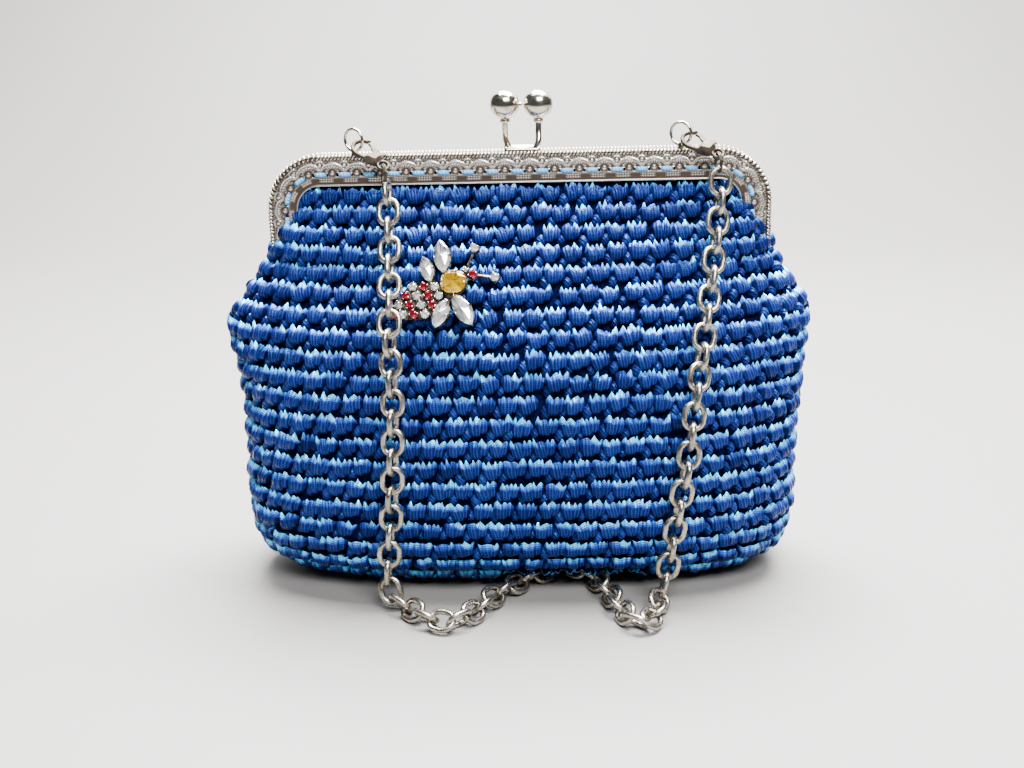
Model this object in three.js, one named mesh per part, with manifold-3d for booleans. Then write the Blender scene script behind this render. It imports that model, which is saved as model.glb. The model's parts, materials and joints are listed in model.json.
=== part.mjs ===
// A crochet handbag on a hinged metal purse frame, with a kiss-lock, a chain strap and a bee brooch.
// Millimetres. +X is to the right as the bag is seen from the front, -Y is the front, +Z is up.
// The origin is the middle of the flat patch of the base that the bag stands on.
import * as THREE from 'three';
import { mergeVertices } from 'three/addons/utils/BufferGeometryUtils.js';
import Module from 'manifold-3d';

const wasm = await Module();
wasm.setup();

// Driving dimensions of the crochet body
const BODY = {
  segments: 36, // faces round the body
  wall: 4.2, // ribbon yarn, worked double
  mouthWall: 2.2, // the edge pressed into the frame
  pressedFrom: 11, // the wall thins from this row of the table of sections
  insideSections: [16, 14, 13, 12, 10, 8, 5, 3, 1], // rows of the table that shape the inside
  patchRing: 0.55, // size of the inner ring of the base patch, as a share of its edge
};

// One row for each height: the outline there is a superellipse.
const BODY_SECTIONS = [
  { z: 0, halfWidth: 82, halfDepth: 18.5, squareness: 2.6, centreX: 0 },
  { z: 3, halfWidth: 94, halfDepth: 26.5, squareness: 2.7, centreX: -0.5 },
  { z: 8, halfWidth: 103, halfDepth: 34.5, squareness: 2.8, centreX: -1 },
  { z: 14.5, halfWidth: 109, halfDepth: 40.5, squareness: 2.8, centreX: -1.5 },
  { z: 25, halfWidth: 112.5, halfDepth: 44.5, squareness: 2.8, centreX: -2 },
  { z: 46, halfWidth: 113, halfDepth: 45.5, squareness: 2.7, centreX: -1.8 },
  { z: 75, halfWidth: 114, halfDepth: 43.5, squareness: 2.5, centreX: -1 },
  { z: 98, halfWidth: 116.5, halfDepth: 39, squareness: 2.25, centreX: -1.5 },
  { z: 109, halfWidth: 117.5, halfDepth: 35.5, squareness: 2.1, centreX: -1.8 },
  { z: 120, halfWidth: 110.5, halfDepth: 30.5, squareness: 1.95, centreX: -0.6 },
  { z: 130, halfWidth: 103, halfDepth: 25.5, squareness: 1.8, centreX: 0 },
  { z: 133.5, halfWidth: 99, halfDepth: 23.6, squareness: 1.7, centreX: 0 },
  { z: 137, halfWidth: 91.5, halfDepth: 21.2, squareness: 1.6, centreX: 0 },
  { z: 150, halfWidth: 91, halfDepth: 13.5, squareness: 2, centreX: 0 },
  { z: 160.5, halfWidth: 90.5, halfDepth: 4.7, squareness: 3.6, centreX: 0 },
  { z: 166, halfWidth: 89, halfDepth: 4.6, squareness: 5, centreX: 0 },
  { z: 171, halfWidth: 84.5, halfDepth: 4.6, squareness: 5, centreX: 0 },
];

// The rounds of crochet between two rows of that table, and how far each stands out of the valley below it
const CROCHET_ROUNDS = [
  { fromSection: 2, toSection: 12, rounds: 16, bulge: 1.3 },
  { fromSection: 12, toSection: 14, rounds: 2, bulge: 0.4 },
];

// The strap lies under the front edge of the base and dents it upwards.
const DENT = { height: 9, left: -17, right: 54, back: -5, slope: 9 };

// Driving dimensions of the purse frame
const FRAME = {
  width: 200,
  height: 36,
  top: 174,
  band: 12, // width of the stamped plate
  cornerRadius: 21,
  halfThickness: 6, // from the middle plane to the outside of a plate
  plate: 0.9,
  plateFrom: 0.5, // the plate starts this far inside the rope rim
  flange: 1,
  halfGap: 0.3, // each half ends this far from the middle plane
  cornerSteps: 5,
};
const ROPE_RIM = { width: 1.8, proud: 0.6, behind: 0.3 };
const FOOT_RIM = { width: 1.4, proud: 0.4 };
const SCALLOPS = { count: 24, from: 1.7, valley: 2.9, peak: 5.6, proud: 0.4, steps: 3 };
// One slot between two stitches of the thread that sews the bag in
const SEW_HOLES = { count: 24, offset: 7.4, length: 4, width: 1.5 };
const HINGE = { x: 94, z: 142, pin: 1.3, hole: 1.7, head: 2.3, headThickness: 0.7, gap: 0.7, sides: 8 };

// The kiss-lock: two balls side by side, the right one on the front half
const LOCK = {
  ball: 5.8,
  ballSides: 12,
  ballRows: 8,
  height: 18,
  frontX: 8.6,
  backX: -4.6,
  ballY: -0.5,
  wire: 1.2,
  wireSides: 6,
  wireSteps: 10,
  collar: { radius: 2, height: 1.6, sides: 8, y: -0.7, below: 0.4 },
  nub: { radius: 0.9, reach: 6.1, sides: 6, rows: 4 },
};
// The stem from the ball to its foot on the frame: across from the ball, Y, and height over the frame's top
const LOCK_STEM = [
  [0, -0.5, 15.1],
  [0, -1.1, 8],
  [-0.2, -2.9, 3.4],
  [-1.8, -3.4, 0.9],
  [-4.5, -3.4, 0.4],
  [-13, -3.4, 0.4],
];

// The strap loops on the front half, and how they are turned
const LOOP = { x: 64.2, y: -5.6, height: 6, radius: 4.3, wire: 0.7, turn: -30, sides: 14, wireSides: 5 };
const LOOP_POST = { y: -5.3, radius: 1.1, from: -1, to: 1.9, sides: 6 };

// The lobster clasp, drawn in its own plane: u runs from the hook to the eye, v to the lever's side
const CLASP = {
  inner: 3.3,
  outer: 4.9,
  hookThickness: 1.8,
  bodyThickness: 4.6,
  soften: 0.4,
  bodySoften: 1.2, // the body's edges are cut back further than the hook's
  tipInner: 110, // the hook's tip is cut on a slant, in degrees from the u axis
  tipOuter: 96,
  spine: -60, // where the hook joins the back of the body
  throat: { u: 4.4, low: -0.8, angle: -10 }, // where the inside of the hook meets the body
  neck: { u: 8.9, half: 1.7 }, // between the body and the eye
  neckAngle: 140, // where the eye's rim meets the neck
  pivot: { u: 6.6, v: 1.3 },
  pin: 0.5,
  pinHole: 0.8,
  leverThickness: 1.1,
  slotThickness: 1.7,
  eye: { u: 11.5, outer: 2.8, hole: 1.6 },
  wireAt: -1.25, // where the strap loop's wire lies in the hook
  roll: 46, // how far the lever's side leans back
};
const CLASP_BLOCK = [[4, -4], [7.6, -2.9], [9.3, -2], [9.3, 2], [8.2, 2.9], [4, 3.1]];
const CLASP_SLOT = [[3, -0.4], [8.7, -0.4], [8.7, 6], [3, 6]];
// The lever closes the hook with two arcs; the rest of its outline runs round the pivot to the thumb piece.
const CLASP_LEVER = {
  outside: { radius: 4.85, from: 52, to: 91 },
  inside: { radius: 3.06, from: 101.7, to: 45 },
  rest: [
    [4.4, 1.3], [5.3, 0.3], [6.6, 0], [7.9, 0.5], [8.2, 1.7],
    [7.7, 3.2], [8.3, 4.6], [7.6, 5.3], [6.4, 4.3], [4.8, 3.8],
  ],
};
const PIN = { sides: 6, inset: 0.3 }; // the lever's pin ends this far inside the body

// One row for each clasp: the side it is on and the way it lies from hook to eye
const CLASP_LAYS = [
  { side: 'left', loopX: -LOOP.x, along: [0.71, -0.43, -0.56] },
  { side: 'right', loopX: LOOP.x, along: [0.81, -0.39, -0.44] },
];
const STRAP_RING = { radius: 3.6, wire: 0.7, hang: [0.08, -0.32, -0.94], below: 3.2, sides: 12, wireSides: 5 };

// The chain strap: from the left clasp over the front, along the table and up to the right clasp
const CHAIN = { radius: 4, sides: 8, steps: 50 };
const CHAIN_ROUTE = [
  [-50.8, -13.6, 161.6],
  [-50.2, -18, 151],
  [-49.6, -26, 136],
  [-49.2, -36.4, 122],
  [-48.9, -42.2, 111],
  [-48.5, -45.2, 98],
  [-48.3, -47.2, 84],
  [-48.9, -49, 66],
  [-50.2, -50.2, 44],
  [-52, -50.6, 24],
  [-53, -51, 12],
  [-51, -53, 5.6],
  [-46, -58, 4.35],
  [-37, -67, 4.35],
  [-28, -72, 4.35],
  [-20, -65.5, 4.35],
  [-12.5, -51.5, 4.35],
  [-5, -41, 4.35],
  [4, -30.5, 4.35],
  [17, -22, 4.35],
  [27.5, -31, 4.35],
  [34, -46.5, 4.35],
  [38, -60, 4.35],
  [42.5, -70.5, 4.35],
  [47.5, -73, 4.35],
  [51, -66, 4.35],
  [53, -57, 4.35],
  [55, -51.5, 6.5],
  [57, -49.6, 15],
  [59, -49.6, 27],
  [62, -49.4, 45],
  [65, -47.8, 62],
  [67.3, -45.2, 80],
  [69.8, -40.4, 96],
  [72, -34.6, 110],
  [74.2, -28, 123],
  [76.6, -21.2, 139],
  [78.4, -16, 154],
  [79, -13.6, 163.6],
];

// The bee brooch: its place on the bag, with x and y in its own plane, measured from the thorax
const BROOCH = {
  place: [-24.4, -30.1, 127.2],
  leanBack: 29,
  turnLeft: 12,
  plate: 1,
  stoneGap: 0.3,
  cup: 2.2,
  cupSides: 6,
  wire: 0.6,
  wireSides: 6,
  barInset: 0.1, // the bars lie this far inside the plate's faces
  rim: 0.2, // the plate stands out this far round a wing or the thorax
};
const WINGS = [
  { x: -5.7, y: 10, length: 13.8, width: 7, turn: 14 },
  { x: -11.2, y: 4.6, length: 11.2, width: 5.8, turn: 22 },
  { x: -3.6, y: -12.8, length: 12.4, width: 6.6, turn: -17 },
  { x: 4.9, y: -11, length: 15, width: 7, turn: 37 },
];
const THORAX = { width: 10.4, height: 9.4, chamfer: 2.6 };
const ROUND_STONE = { radius: 1.85, table: 1, pavilion: 0.8, crown: 0.9, sides: 8 };
const FACETS = { girdle: 0.3, crown: 1, slope: 1.3, wingSteps: 4 };
const HEAD_STONES = [
  { name: 'brooch_head_stone', x: 7.4, y: 3.1, size: 1, colour: 'red' },
  { name: 'brooch_neck_stone', x: 4.4, y: 4.9, size: 0.55, colour: 'clear' },
];
const ANTENNAE = [
  { x: 6.9, y: 13.7, fromX: 4.4, fromY: 4.9 },
  { x: 16.2, y: 2.3, fromX: 7.4, fromY: 3.1 },
];
// The abdomen's stones lie in rows across its axis: distance from the thorax, number of stones and colour.
const ABDOMEN = { angle: 210, spacing: 4.15, shift: -0.4 };
const ABDOMEN_ROWS = [
  { distance: 7.4, count: 2, colour: 'clear' },
  { distance: 11.2, count: 3, colour: 'red' },
  { distance: 15.2, count: 4, colour: 'clear' },
  { distance: 19.3, count: 3, colour: 'red' },
  { distance: 23.4, count: 2, colour: 'clear' },
  { distance: 27.4, count: 1, colour: 'red' },
];
const BROOCH_BARS = [
  { fromX: 6, fromY: 3, toX: -23.5, toY: -14, width: 3 }, // back bone under head and abdomen
  { fromX: 0, fromY: -2, toX: -2.4, toY: -9, width: 2.4 }, // to the third wing
  { fromX: -6, fromY: -3, toX: -9.8, toY: 1, width: 2.4 }, // to the second wing
  { fromX: 0, fromY: 2, toX: 4.4, toY: 4.9, width: 2 }, // to the neck stone
];
const BROOCH_PIN = { fromX: -15, fromY: -7, toX: 5, toY: 0, radius: 0.5, depth: 0.45 };

// Colours and finishes
const FINISHES = {
  ribbon: { color: 0x1c4fb4, roughness: 0.45, metalness: 0 },
  nickel: { color: 0xc9c7c2, roughness: 0.22, metalness: 1 },
  clear: { color: 0xf2f5f8, roughness: 0.05, metalness: 0 },
  red: { color: 0xa01226, roughness: 0.05, metalness: 0 },
  amber: { color: 0xe8a010, roughness: 0.05, metalness: 0 },
};

const MERGE_DISTANCE = 1e-4;
const OVERLAP = 0.1; // pieces that are joined into one solid sink this far into each other

// Closed meshes to solids and back
function solidOf(geometry) {
  const bare = geometry.clone();
  bare.deleteAttribute('normal');
  bare.deleteAttribute('uv');
  const merged = mergeVertices(bare, MERGE_DISTANCE);
  const vertProperties = new Float32Array(merged.attributes.position.array);
  const triVerts = new Uint32Array(merged.index.array);
  return new wasm.Manifold(new wasm.Mesh({ numProp: 3, vertProperties, triVerts }));
}

function geometryOf(solid) {
  const mesh = solid.getMesh();
  const geometry = new THREE.BufferGeometry();
  geometry.setAttribute('position', new THREE.BufferAttribute(new Float32Array(mesh.vertProperties), 3));
  geometry.setIndex(new THREE.BufferAttribute(new Uint32Array(mesh.triVerts), 1));
  geometry.computeVertexNormals();
  return geometry;
}

function joined(geometries) {
  return geometries.map(solidOf).reduce((whole, solid) => whole.add(solid));
}

function radians(degrees) {
  return THREE.MathUtils.degToRad(degrees);
}

function piece(name, geometry, finish) {
  const mesh = new THREE.Mesh(geometry, new THREE.MeshStandardMaterial(FINISHES[finish]));
  mesh.name = name;
  return mesh;
}

function smoothStep(value) {
  return THREE.MathUtils.smoothstep(value, 0, 1);
}

// A regular polygon, as the section of a wire
function polygon(radius, sides) {
  const points = [];
  for (let i = 0; i < sides; i += 1) {
    const angle = (2 * Math.PI * i) / sides;
    points.push(new THREE.Vector2(radius * Math.cos(angle), radius * Math.sin(angle)));
  }
  return new THREE.Shape(points);
}

function wireAlong(points, radius, sides, steps) {
  const stops = points.map((point) => new THREE.Vector3(...point));
  const curve = new THREE.CatmullRomCurve3(stops, false, 'centripetal');
  return new THREE.ExtrudeGeometry(polygon(radius, sides), { steps, extrudePath: curve });
}

// Crochet body: a smooth table of sections, measured along the wall
const SECTION_KEYS = ['z', 'halfWidth', 'halfDepth', 'squareness', 'centreX'];
const WALL_DISTANCES = BODY_SECTIONS.reduce((distances, row, i) => {
  if (i === 0) {
    return [0];
  }
  const before = BODY_SECTIONS[i - 1];
  const spread = (row.halfWidth - before.halfWidth + row.halfDepth - before.halfDepth) / 2;
  return [...distances, distances[i - 1] + Math.hypot(row.z - before.z, spread)];
}, []);

function slopeAt(key, i) {
  const low = Math.max(i - 1, 0);
  const high = Math.min(i + 1, BODY_SECTIONS.length - 1);
  return (BODY_SECTIONS[high][key] - BODY_SECTIONS[low][key]) / (WALL_DISTANCES[high] - WALL_DISTANCES[low]);
}

function sectionAt(distance) {
  const last = BODY_SECTIONS.length - 2;
  const found = WALL_DISTANCES.findIndex((value) => value > distance) - 1;
  const i = found < 0 ? last : Math.min(found, last);
  const span = WALL_DISTANCES[i + 1] - WALL_DISTANCES[i];
  const t = (distance - WALL_DISTANCES[i]) / span;
  const section = {};
  SECTION_KEYS.forEach((key) => {
    const rise = t * t * (3 - 2 * t);
    const leave = t * (1 - t) * (1 - t) * span * slopeAt(key, i);
    const arrive = t * t * (t - 1) * span * slopeAt(key, i + 1);
    section[key] = BODY_SECTIONS[i][key] * (1 - rise) + BODY_SECTIONS[i + 1][key] * rise + leave + arrive;
  });
  return section;
}

function dentLift(x, y) {
  const across = smoothStep((x - DENT.left) / DENT.slope) * smoothStep((DENT.right - x) / DENT.slope);
  return DENT.height * across * smoothStep((DENT.back - y) / DENT.slope);
}

// One ring of the body; grow moves it out of the section, floor is the lowest height outside the dent.
function bodyRing(section, grow, floor) {
  const ring = [];
  for (let i = 0; i < BODY.segments; i += 1) {
    const angle = (2 * Math.PI * i) / BODY.segments;
    const power = 2 / section.squareness;
    const cos = Math.cos(angle);
    const sin = Math.sin(angle);
    const x = section.centreX + (section.halfWidth + grow) * Math.sign(cos) * Math.abs(cos) ** power;
    const y = (section.halfDepth + grow) * Math.sign(sin) * Math.abs(sin) ** power;
    ring.push(new THREE.Vector3(x, y, Math.max(section.z, floor + dentLift(x, y))));
  }
  return ring;
}

function crochetBody() {
  const end = WALL_DISTANCES[WALL_DISTANCES.length - 1];
  const pressedFrom = WALL_DISTANCES[BODY.pressedFrom];
  const patch = sectionAt(0);
  const innerPatch = {
    ...patch,
    halfWidth: patch.halfWidth * BODY.patchRing,
    halfDepth: patch.halfDepth * BODY.patchRing,
  };
  const plainBelow = CROCHET_ROUNDS[0].fromSection;
  const plainAbove = CROCHET_ROUNDS[CROCHET_ROUNDS.length - 1].toSection;
  const rings = [bodyRing(innerPatch, 0, 0)];
  WALL_DISTANCES.slice(0, plainBelow + 1).forEach((distance) => {
    rings.push(bodyRing(sectionAt(distance), 0, 0));
  });
  CROCHET_ROUNDS.forEach(({ fromSection, toSection, rounds, bulge }) => {
    const first = WALL_DISTANCES[fromSection];
    const half = (WALL_DISTANCES[toSection] - first) / (2 * rounds);
    for (let i = 1; i <= 2 * rounds; i += 1) {
      rings.push(bodyRing(sectionAt(first + half * i), i % 2 === 1 ? bulge : 0, 0));
    }
  });
  WALL_DISTANCES.slice(plainAbove + 1).forEach((distance) => {
    rings.push(bodyRing(sectionAt(distance), 0, 0));
  });
  // the inside, from the mouth down to the floor of the bag
  BODY.insideSections.forEach((i) => {
    const distance = WALL_DISTANCES[i];
    const pressed = smoothStep((distance - pressedFrom) / (end - pressedFrom));
    const wall = THREE.MathUtils.lerp(BODY.wall, BODY.mouthWall, pressed);
    rings.push(bodyRing(sectionAt(distance), -wall, BODY.wall));
  });
  rings.push(bodyRing({ ...innerPatch, z: BODY.wall }, 0, BODY.wall));
  return ringedSurface(rings, new THREE.Vector3(0, 0, 0), new THREE.Vector3(0, 0, BODY.wall));
}

// A closed surface through rings of equal count, closed by a point at each end
function ringedSurface(rings, first, last) {
  const count = rings[0].length;
  const points = [first, ...rings.flat(), last];
  const index = [];
  const at = (ring, i) => 1 + ring * count + (i % count);
  for (let i = 0; i < count; i += 1) {
    index.push(0, at(0, i + 1), at(0, i));
    for (let ring = 0; ring + 1 < rings.length; ring += 1) {
      index.push(at(ring, i), at(ring, i + 1), at(ring + 1, i + 1));
      index.push(at(ring, i), at(ring + 1, i + 1), at(ring + 1, i));
    }
    index.push(points.length - 1, at(rings.length - 1, i), at(rings.length - 1, i + 1));
  }
  const geometry = new THREE.BufferGeometry().setFromPoints(points);
  geometry.setIndex(index);
  geometry.computeVertexNormals();
  return geometry;
}

// Purse frame: a point of the arch, by the distance along its middle line and the depth from its outer edge
const LEG = FRAME.height - FRAME.cornerRadius;
const CORNER_LENGTH = ((FRAME.cornerRadius - FRAME.band / 2) * Math.PI) / 2;
const STRAIGHT = FRAME.width - 2 * FRAME.cornerRadius;
const ARCH_LENGTH = 2 * (LEG + CORNER_LENGTH) + STRAIGHT;

function archPoint(distance, depth) {
  const half = ARCH_LENGTH / 2;
  const side = distance < half ? -1 : 1;
  const along = Math.min(distance, ARCH_LENGTH - distance);
  const middleX = FRAME.width / 2 - FRAME.cornerRadius;
  const middleZ = FRAME.top - FRAME.cornerRadius;
  const radius = FRAME.cornerRadius - depth;
  if (along < LEG) {
    return new THREE.Vector2(side * (middleX + radius), FRAME.top - FRAME.height + along);
  }
  if (along < LEG + CORNER_LENGTH) {
    const angle = (((along - LEG) / CORNER_LENGTH) * Math.PI) / 2;
    return new THREE.Vector2(side * (middleX + radius * Math.cos(angle)), middleZ + radius * Math.sin(angle));
  }
  return new THREE.Vector2(side * (half - along), middleZ + radius);
}

// Distances along the arch where a band's outline needs a point
function archStops() {
  const corner = [];
  for (let i = 0; i <= FRAME.cornerSteps; i += 1) {
    corner.push(LEG + (CORNER_LENGTH * i) / FRAME.cornerSteps);
  }
  const rightCorner = corner.map((distance) => ARCH_LENGTH - distance).reverse();
  return [0, ...corner, ...rightCorner, ARCH_LENGTH];
}

// A band of the arch between two depths, standing from one Y to another
function archBand(outer, inner, fromY, toY) {
  const stops = archStops();
  const outline = stops.map((distance) => archPoint(distance, outer));
  outline.push(...stops.reverse().map((distance) => archPoint(distance, inner)));
  return standing(new THREE.Shape(outline), fromY, toY);
}

// A shape drawn in X and Z, made solid from one Y to another
function standing(shape, fromY, toY) {
  const geometry = new THREE.ExtrudeGeometry(shape, { depth: toY - fromY, bevelEnabled: false });
  geometry.rotateX(Math.PI / 2);
  geometry.translate(0, toY, 0);
  return geometry;
}

function scallopBand(fromY, toY) {
  const inner = [];
  for (let i = 0; i < SCALLOPS.count * SCALLOPS.steps; i += 1) {
    const turn = (i % SCALLOPS.steps) / SCALLOPS.steps;
    const bow = Math.sqrt(Math.sin(Math.PI * turn));
    const depth = THREE.MathUtils.lerp(SCALLOPS.valley, SCALLOPS.peak, bow);
    inner.push(archPoint((ARCH_LENGTH * i) / (SCALLOPS.count * SCALLOPS.steps), depth));
  }
  inner.push(archPoint(ARCH_LENGTH, SCALLOPS.valley));
  const outer = archStops().map((distance) => archPoint(distance, SCALLOPS.from));
  return standing(new THREE.Shape([...outer, ...inner.reverse()]), fromY, toY);
}

function sewingHoles(face) {
  const holes = [];
  for (let i = 0; i < SEW_HOLES.count; i += 1) {
    const middle = (ARCH_LENGTH * (i + 0.5)) / SEW_HOLES.count;
    const start = archPoint(middle - SEW_HOLES.length / 2, SEW_HOLES.offset);
    const end = archPoint(middle + SEW_HOLES.length / 2, SEW_HOLES.offset);
    const hole = new THREE.BoxGeometry(start.distanceTo(end), 2 * FRAME.plate, SEW_HOLES.width);
    hole.rotateY(-Math.atan2(end.y - start.y, end.x - start.x));
    holes.push(hole.translate((start.x + end.x) / 2, face, (start.y + end.y) / 2));
  }
  [-1, 1].forEach((side) => {
    const hole = new THREE.CylinderGeometry(HINGE.hole, HINGE.hole, 4 * FRAME.plate, HINGE.sides);
    holes.push(hole.translate(side * HINGE.x, face, HINGE.z));
  });
  return holes;
}

// One ball of the kiss-lock, on its collar and its bent stem
function lockBall(ballX, hasNub) {
  const top = FRAME.top;
  const centre = top + LOCK.height;
  const ball = new THREE.SphereGeometry(LOCK.ball, LOCK.ballSides, LOCK.ballRows);
  ball.rotateX(Math.PI / 2);
  ball.translate(ballX, LOCK.ballY, centre);
  const { radius, height, sides, y, below } = LOCK.collar;
  const collar = new THREE.CylinderGeometry(LOCK.wire, radius, height, sides);
  collar.rotateX(-Math.PI / 2);
  collar.translate(ballX, y, centre - LOCK.ball - below);
  const stops = LOCK_STEM.map(([across, stopY, rise]) => [ballX + across, stopY, top + rise]);
  const parts = [ball, collar, wireAlong(stops, LOCK.wire, LOCK.wireSides, LOCK.wireSteps)];
  if (hasNub) {
    const nub = new THREE.SphereGeometry(LOCK.nub.radius, LOCK.nub.sides, LOCK.nub.rows);
    parts.push(nub.translate(ballX - LOCK.nub.reach, LOCK.ballY, centre));
  }
  return parts;
}

function strapLoop(x) {
  const loop = new THREE.TorusGeometry(LOOP.radius, LOOP.wire, LOOP.wireSides, LOOP.sides);
  loop.rotateX(Math.PI / 2);
  loop.rotateZ(radians(LOOP.turn));
  loop.translate(x, LOOP.y, FRAME.top + LOOP.height);
  const { radius, from, to, sides } = LOOP_POST;
  const post = new THREE.CylinderGeometry(radius, radius, to - from, sides);
  post.rotateX(Math.PI / 2);
  post.translate(x, LOOP_POST.y, FRAME.top + (from + to) / 2);
  return [loop, post];
}

// One half of the frame, drawn as the front half
function frameHalf(ballX, hasLoops) {
  const face = -FRAME.halfThickness;
  const back = face + FRAME.plate;
  const bands = [
    archBand(FRAME.plateFrom, FRAME.band, face, back),
    archBand(FRAME.plateFrom, FRAME.plateFrom + FRAME.flange, back - OVERLAP, -FRAME.halfGap),
    archBand(0, ROPE_RIM.width, face - ROPE_RIM.proud, back + ROPE_RIM.behind),
    archBand(FRAME.band - FOOT_RIM.width, FRAME.band, face - FOOT_RIM.proud, face + OVERLAP),
    scallopBand(face - SCALLOPS.proud, face + OVERLAP),
  ];
  const loops = hasLoops ? [strapLoop(-LOOP.x), strapLoop(LOOP.x)].flat() : [];
  const plain = joined([...bands, ...lockBall(ballX, !hasLoops), ...loops]);
  return geometryOf(plain.subtract(joined(sewingHoles(face))));
}

function hingeRivet() {
  const inside = FRAME.halfThickness + HINGE.gap;
  const outside = inside + HINGE.headThickness;
  const profile = [
    [0, -outside],
    [HINGE.head, -outside],
    [HINGE.head, -inside],
    [HINGE.pin, -inside],
    [HINGE.pin, inside],
    [HINGE.head, inside],
    [HINGE.head, outside],
    [0, outside],
  ];
  return new THREE.LatheGeometry(profile.map((point) => new THREE.Vector2(...point)), HINGE.sides);
}

// Lobster clasp: the hook with its eye as one bent sheet, thickened by the body, slotted for the lever
function onCircle(radius, degrees) {
  return [radius * Math.cos(radians(degrees)), radius * Math.sin(radians(degrees))];
}

function arcPoints(radius, fromDegrees, toDegrees, steps) {
  const points = [];
  for (let i = 0; i <= steps; i += 1) {
    points.push(onCircle(radius, fromDegrees + ((toDegrees - fromDegrees) * i) / steps));
  }
  return points;
}

function shapeOf(points) {
  return new THREE.Shape(points.map((point) => new THREE.Vector2(...point)));
}

function roundHole(u, v, radius) {
  return new THREE.Path().absarc(u, v, radius, 0, 2 * Math.PI, true);
}

// A shape of the clasp's plane, of the given thickness, with softened edges
function clasped(shape, thickness, soften, steps) {
  const geometry = new THREE.ExtrudeGeometry(shape, {
    depth: thickness - 2 * soften,
    bevelEnabled: soften > 0,
    bevelThickness: soften,
    bevelSize: soften,
    bevelOffset: -soften,
    bevelSegments: 1,
    curveSegments: steps,
  });
  return geometry.translate(0, 0, soften - thickness / 2);
}

function claspBody() {
  const { eye, neck, pivot, throat } = CLASP;
  const hook = shapeOf([
    ...arcPoints(CLASP.outer, CLASP.tipOuter, 360 + CLASP.spine, 8),
    [neck.u, -neck.half],
    ...arcPoints(eye.outer, -CLASP.neckAngle, CLASP.neckAngle, 6).map(([u, v]) => [u + eye.u, v]),
    [neck.u, neck.half],
    [throat.u, neck.half],
    [throat.u, throat.low],
    ...arcPoints(CLASP.inner, throat.angle, CLASP.tipInner - 360, 9),
  ]);
  hook.holes.push(roundHole(eye.u, 0, eye.hole));
  const block = shapeOf(CLASP_BLOCK);
  const slot = shapeOf(CLASP_SLOT);
  const pin = new THREE.CylinderGeometry(CLASP.pin, CLASP.pin, CLASP.bodyThickness - 2 * PIN.inset, PIN.sides);
  pin.rotateX(Math.PI / 2);
  pin.translate(pivot.u, pivot.v, 0);
  const whole = joined([
    clasped(hook, CLASP.hookThickness, CLASP.soften, 5),
    clasped(block, CLASP.bodyThickness, CLASP.bodySoften, 1),
  ]);
  return geometryOf(whole.subtract(solidOf(clasped(slot, CLASP.slotThickness, 0, 1))).add(solidOf(pin)));
}

function claspLever() {
  const { pivot } = CLASP;
  const { outside, inside, rest } = CLASP_LEVER;
  const lever = shapeOf([
    ...arcPoints(outside.radius, outside.from, outside.to, 4),
    ...arcPoints(inside.radius, inside.from, inside.to, 4),
    ...rest,
  ]);
  lever.holes.push(roundHole(pivot.u, pivot.v, CLASP.pinHole));
  return clasped(lever, CLASP.leverThickness, 0, 4);
}

// Where a clasp lies: its hook takes the wire of the strap loop at the side that it hangs from
function claspFrame(lay) {
  const along = new THREE.Vector3(...lay.along).normalize();
  const flatSide = new THREE.Vector3(-along.z, 0, along.x).normalize();
  const flatNormal = new THREE.Vector3().crossVectors(along, flatSide);
  const roll = radians(CLASP.roll);
  const leverSide = flatSide.multiplyScalar(Math.cos(roll)).addScaledVector(flatNormal, -Math.sin(roll));
  const normal = new THREE.Vector3().crossVectors(along, leverSide);
  const turn = radians(LOOP.turn);
  const level = new THREE.Vector3(Math.cos(turn), Math.sin(turn), 0);
  const toWire = level.multiplyScalar(along.dot(level)).setZ(along.z).normalize();
  const hook = new THREE.Vector3(lay.loopX, LOOP.y, FRAME.top + LOOP.height);
  hook.addScaledVector(toWire, LOOP.radius).addScaledVector(along, -CLASP.wireAt);
  return new THREE.Matrix4().makeBasis(along, leverSide, normal).setPosition(hook);
}

function claspGroup(lay) {
  const group = new THREE.Group();
  group.add(piece(`clasp_body_${lay.side}`, claspBody(), 'nickel'));
  group.add(piece(`clasp_lever_${lay.side}`, claspLever(), 'nickel'));
  group.applyMatrix4(claspFrame(lay));
  return group;
}

// The jump ring hangs in the clasp's eye.
function strapRing(lay) {
  const frame = claspFrame(lay);
  const eye = new THREE.Vector3(CLASP.eye.u, 0, 0).applyMatrix4(frame);
  const hang = new THREE.Vector3(...STRAP_RING.hang).normalize();
  const through = new THREE.Vector3().setFromMatrixColumn(frame, 2);
  const normal = new THREE.Vector3().crossVectors(through, hang).normalize();
  const across = new THREE.Vector3().crossVectors(normal, hang);
  const { radius, wire, wireSides, sides } = STRAP_RING;
  const torus = new THREE.TorusGeometry(radius, wire, wireSides, sides);
  const ring = piece(`strap_ring_${lay.side}`, torus, 'nickel');
  const place = eye.addScaledVector(hang, STRAP_RING.below);
  ring.applyMatrix4(new THREE.Matrix4().makeBasis(hang, across, normal).setPosition(place));
  return ring;
}

// Brooch: cut stones on a flat setting
function roundStone(size) {
  const { radius, table, pavilion, crown, sides } = ROUND_STONE;
  const profile = [[0, 0], [radius, pavilion], [table, pavilion + crown], [0, pavilion + crown]];
  const stone = new THREE.LatheGeometry(profile.map((point) => new THREE.Vector2(...point)), sides);
  return stone.rotateX(Math.PI / 2).scale(size, size, size);
}

function marquise(length, width, grow) {
  const tip = length / 2 + grow;
  const side = width + 2 * grow; // a curve reaches half way to its control point
  const shape = new THREE.Shape().moveTo(0, -tip);
  shape.quadraticCurveTo(side, 0, 0, tip);
  shape.quadraticCurveTo(-side, 0, 0, -tip);
  return shape;
}

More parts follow.
